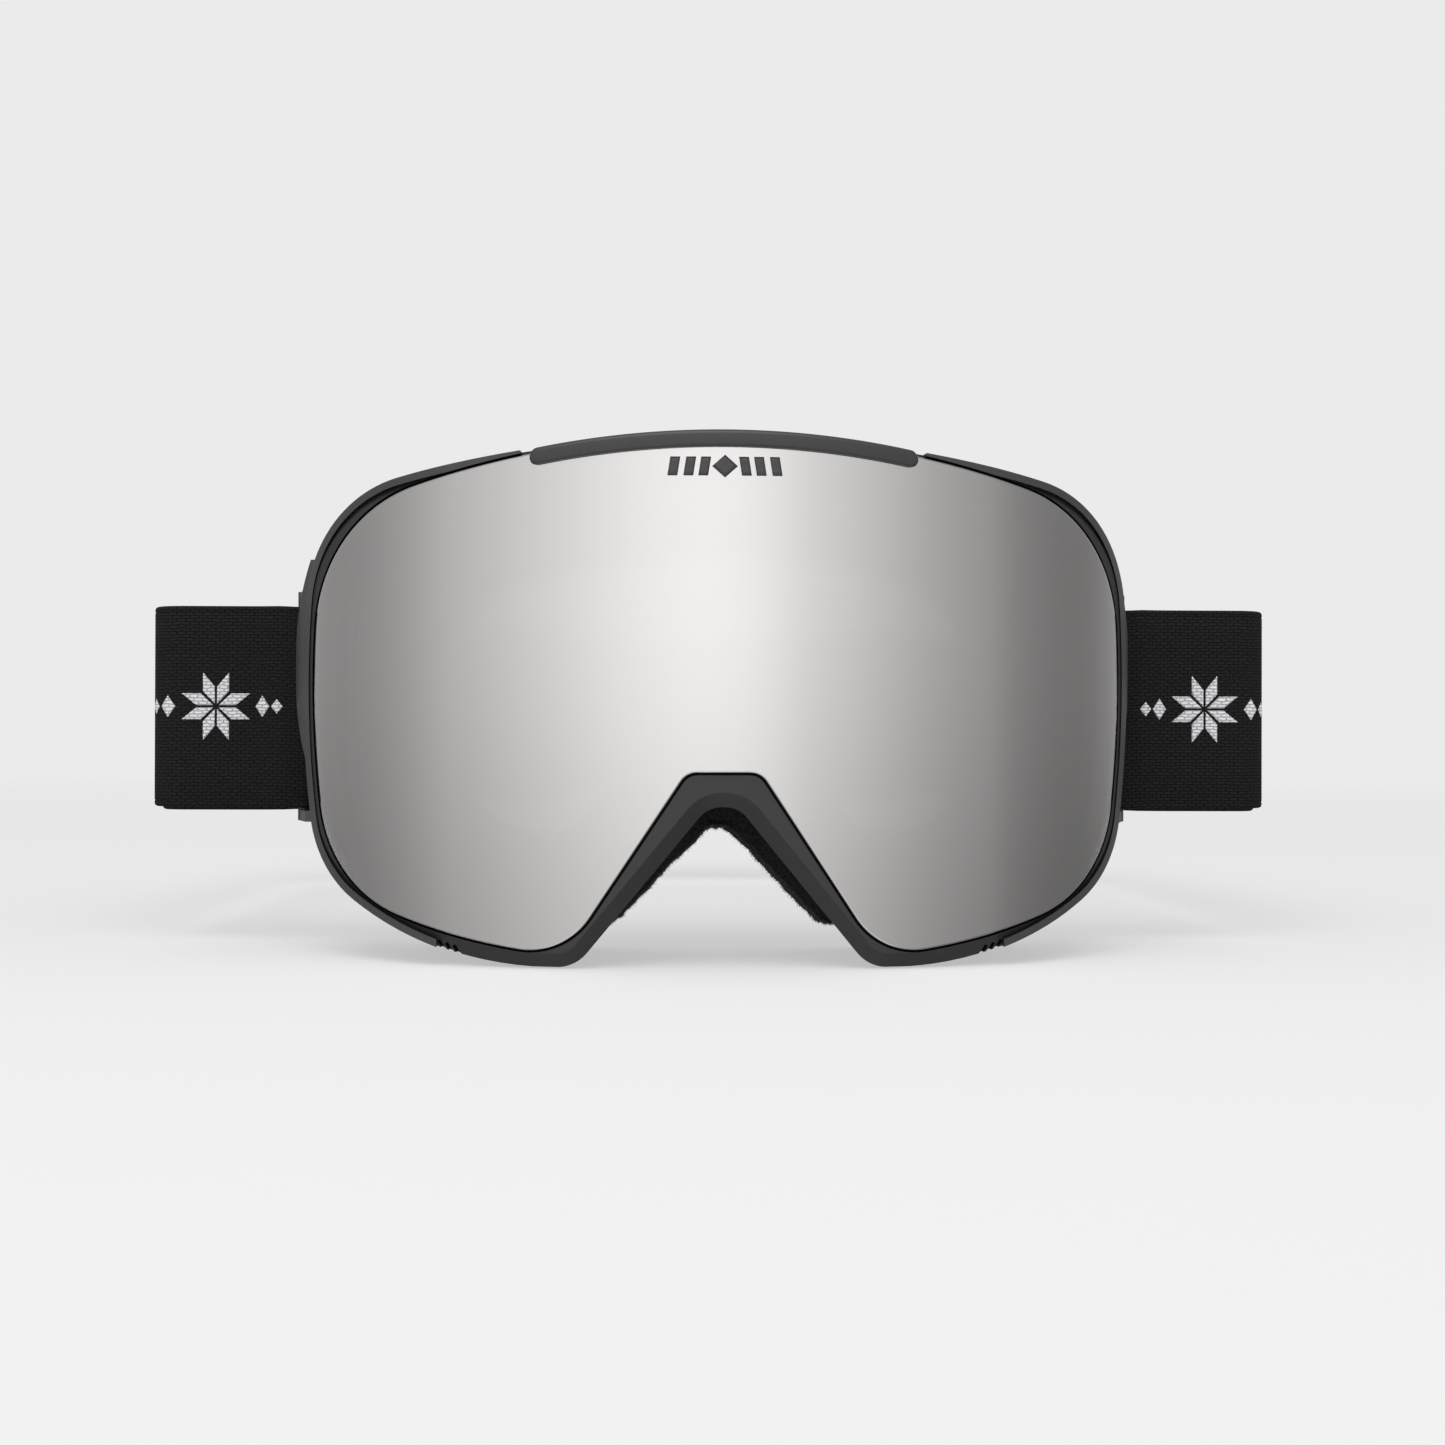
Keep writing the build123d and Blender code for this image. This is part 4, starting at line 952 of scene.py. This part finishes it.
print("floor radius, m", FLOOR_R)

# %% Surround
world = bpy.data.worlds.new("surround")
bpy.context.scene.world = world
world.use_nodes = True
tree = world.node_tree
background = tree.nodes["Background"]
way = add_node(tree, "TexCoord")
split = add_node(tree, "SeparateXYZ")
front_way = add_node(tree, "Math", {1: -1.0}, operation="MULTIPLY")
bearing = add_node(tree, "Math", operation="ARCTAN2")
share = add_node(tree, "MapRange", {"From Min": -np.pi, "From Max": np.pi})
ramp = add_node(tree, "ValToRGB")
ramp.color_ramp.interpolation = "B_SPLINE"
tones = ((-180, 0.30), (-125, 0.21), (-100, 0.175), (-72, 0.215), (-42, 0.36), (-24, 0.52), (-8, 0.66),
         (4, 0.68), (16, 0.52), (38, 0.27), (62, 0.15), (95, 0.11), (120, 0.18), (180, 0.30))
while len(ramp.color_ramp.elements) < len(tones):
    ramp.color_ramp.elements.new(0.5)
for element, (bearing_degrees, tone) in zip(ramp.color_ramp.elements, tones):
    element.position = (bearing_degrees + 180) / 360
for element, (bearing_degrees, tone) in zip(ramp.color_ramp.elements, tones):
    element.color = (tone, tone * 0.99, tone * 0.985, 1)
rays = add_node(tree, "LightPath")
pick = add_node(tree, "Mix", data_type="RGBA")
seen = add_node(tree, "Mix", data_type="RGBA")
seen.inputs["A"].default_value = (0.60, 0.60, 0.605, 1)
seen.inputs["B"].default_value = (SURROUND, SURROUND, SURROUND, 1)
level = add_node(tree, "MapRange", {"From Min": -0.13, "From Max": 0.03, "To Min": 1.36, "To Max": 2.0},
                 interpolation_type="SMOOTHSTEP")
dim = add_node(tree, "VectorMath", operation="SCALE")
wire(tree, (way, "Generated", split, "Vector"), (split, "Y", front_way, 0), (split, "X", bearing, 0),
     (front_way, "Value", bearing, 1), (bearing, "Value", share, "Value"), (share, "Result", ramp, "Fac"),
     (split, "Z", level, "Value"), (ramp, "Color", dim, 0), (level, "Result", dim, "Scale"),
     (rays, "Is Camera Ray", seen, "Factor"), (rays, "Is Glossy Ray", pick, "Factor"),
     (seen, "Result", pick, "A"), (dim, "Vector", pick, "B"), (pick, "Result", background, "Color"))
background.inputs["Strength"].default_value = 1.0
print("surround tones", tones)

# %% Soft light from above
def soft_light(name, place, target, size, power):
    """A square area light at place, turned to face target."""
    lamp = bpy.data.lights.new(name, "AREA")
    lamp.shape = "SQUARE"
    lamp.size = size
    lamp.energy = power
    holder = bpy.data.objects.new(name, lamp)
    bpy.context.collection.objects.link(holder)
    holder.location = place
    holder.rotation_euler = (Vector(target) - Vector(place)).to_track_quat("-Z", "Y").to_euler()


soft_light("soft_top", (-0.1, -0.8, 1.15), (0, 0, 0.03), 1.0, 8.0)
bpy.context.scene.view_settings.view_transform = "Standard"

# %% Camera
def make_camera():
    """Distance 0.54 m, height 0.05 m, turned by yaw about the middle. The goggles lean a little on
    their foam, so the camera is turned by the same angle about the line under the lens."""
    yaw, lean, roll = np.radians([-2.074, 0.631, 0.170])
    eye = np.array([np.sin(yaw) * 0.540, 0.040 - np.cos(yaw) * 0.540, 0.0499])
    ahead = np.array([-np.sin(yaw), np.cos(yaw), 0.0])
    right = np.array([np.cos(yaw), np.sin(yaw), 0.0])
    up = np.array([0.0, 0.0, 1.0])
    tilt = np.array([[1, 0, 0], [0, np.cos(lean), np.sin(lean)], [0, -np.sin(lean), np.cos(lean)]])
    eye, ahead, right, up = tilt @ eye, tilt @ ahead, tilt @ right, tilt @ up
    eye[1] += FRONT
    right, up = right * np.cos(roll) + up * np.sin(roll), up * np.cos(roll) - right * np.sin(roll)
    data = bpy.data.cameras.new("camera")
    data.lens = 61.9
    data.sensor_width = 36.0
    data.shift_x = 0.00384
    camera = bpy.data.objects.new("camera", data)
    bpy.context.collection.objects.link(camera)
    camera.matrix_world = Matrix(np.column_stack([np.append(v, 0) for v in (right, up, -ahead)]
                                                 + [np.append(eye, 1)]).tolist())
    bpy.context.scene.camera = camera
    return camera


camera = make_camera()
print("camera at", [round(c, 4) for c in camera.location])
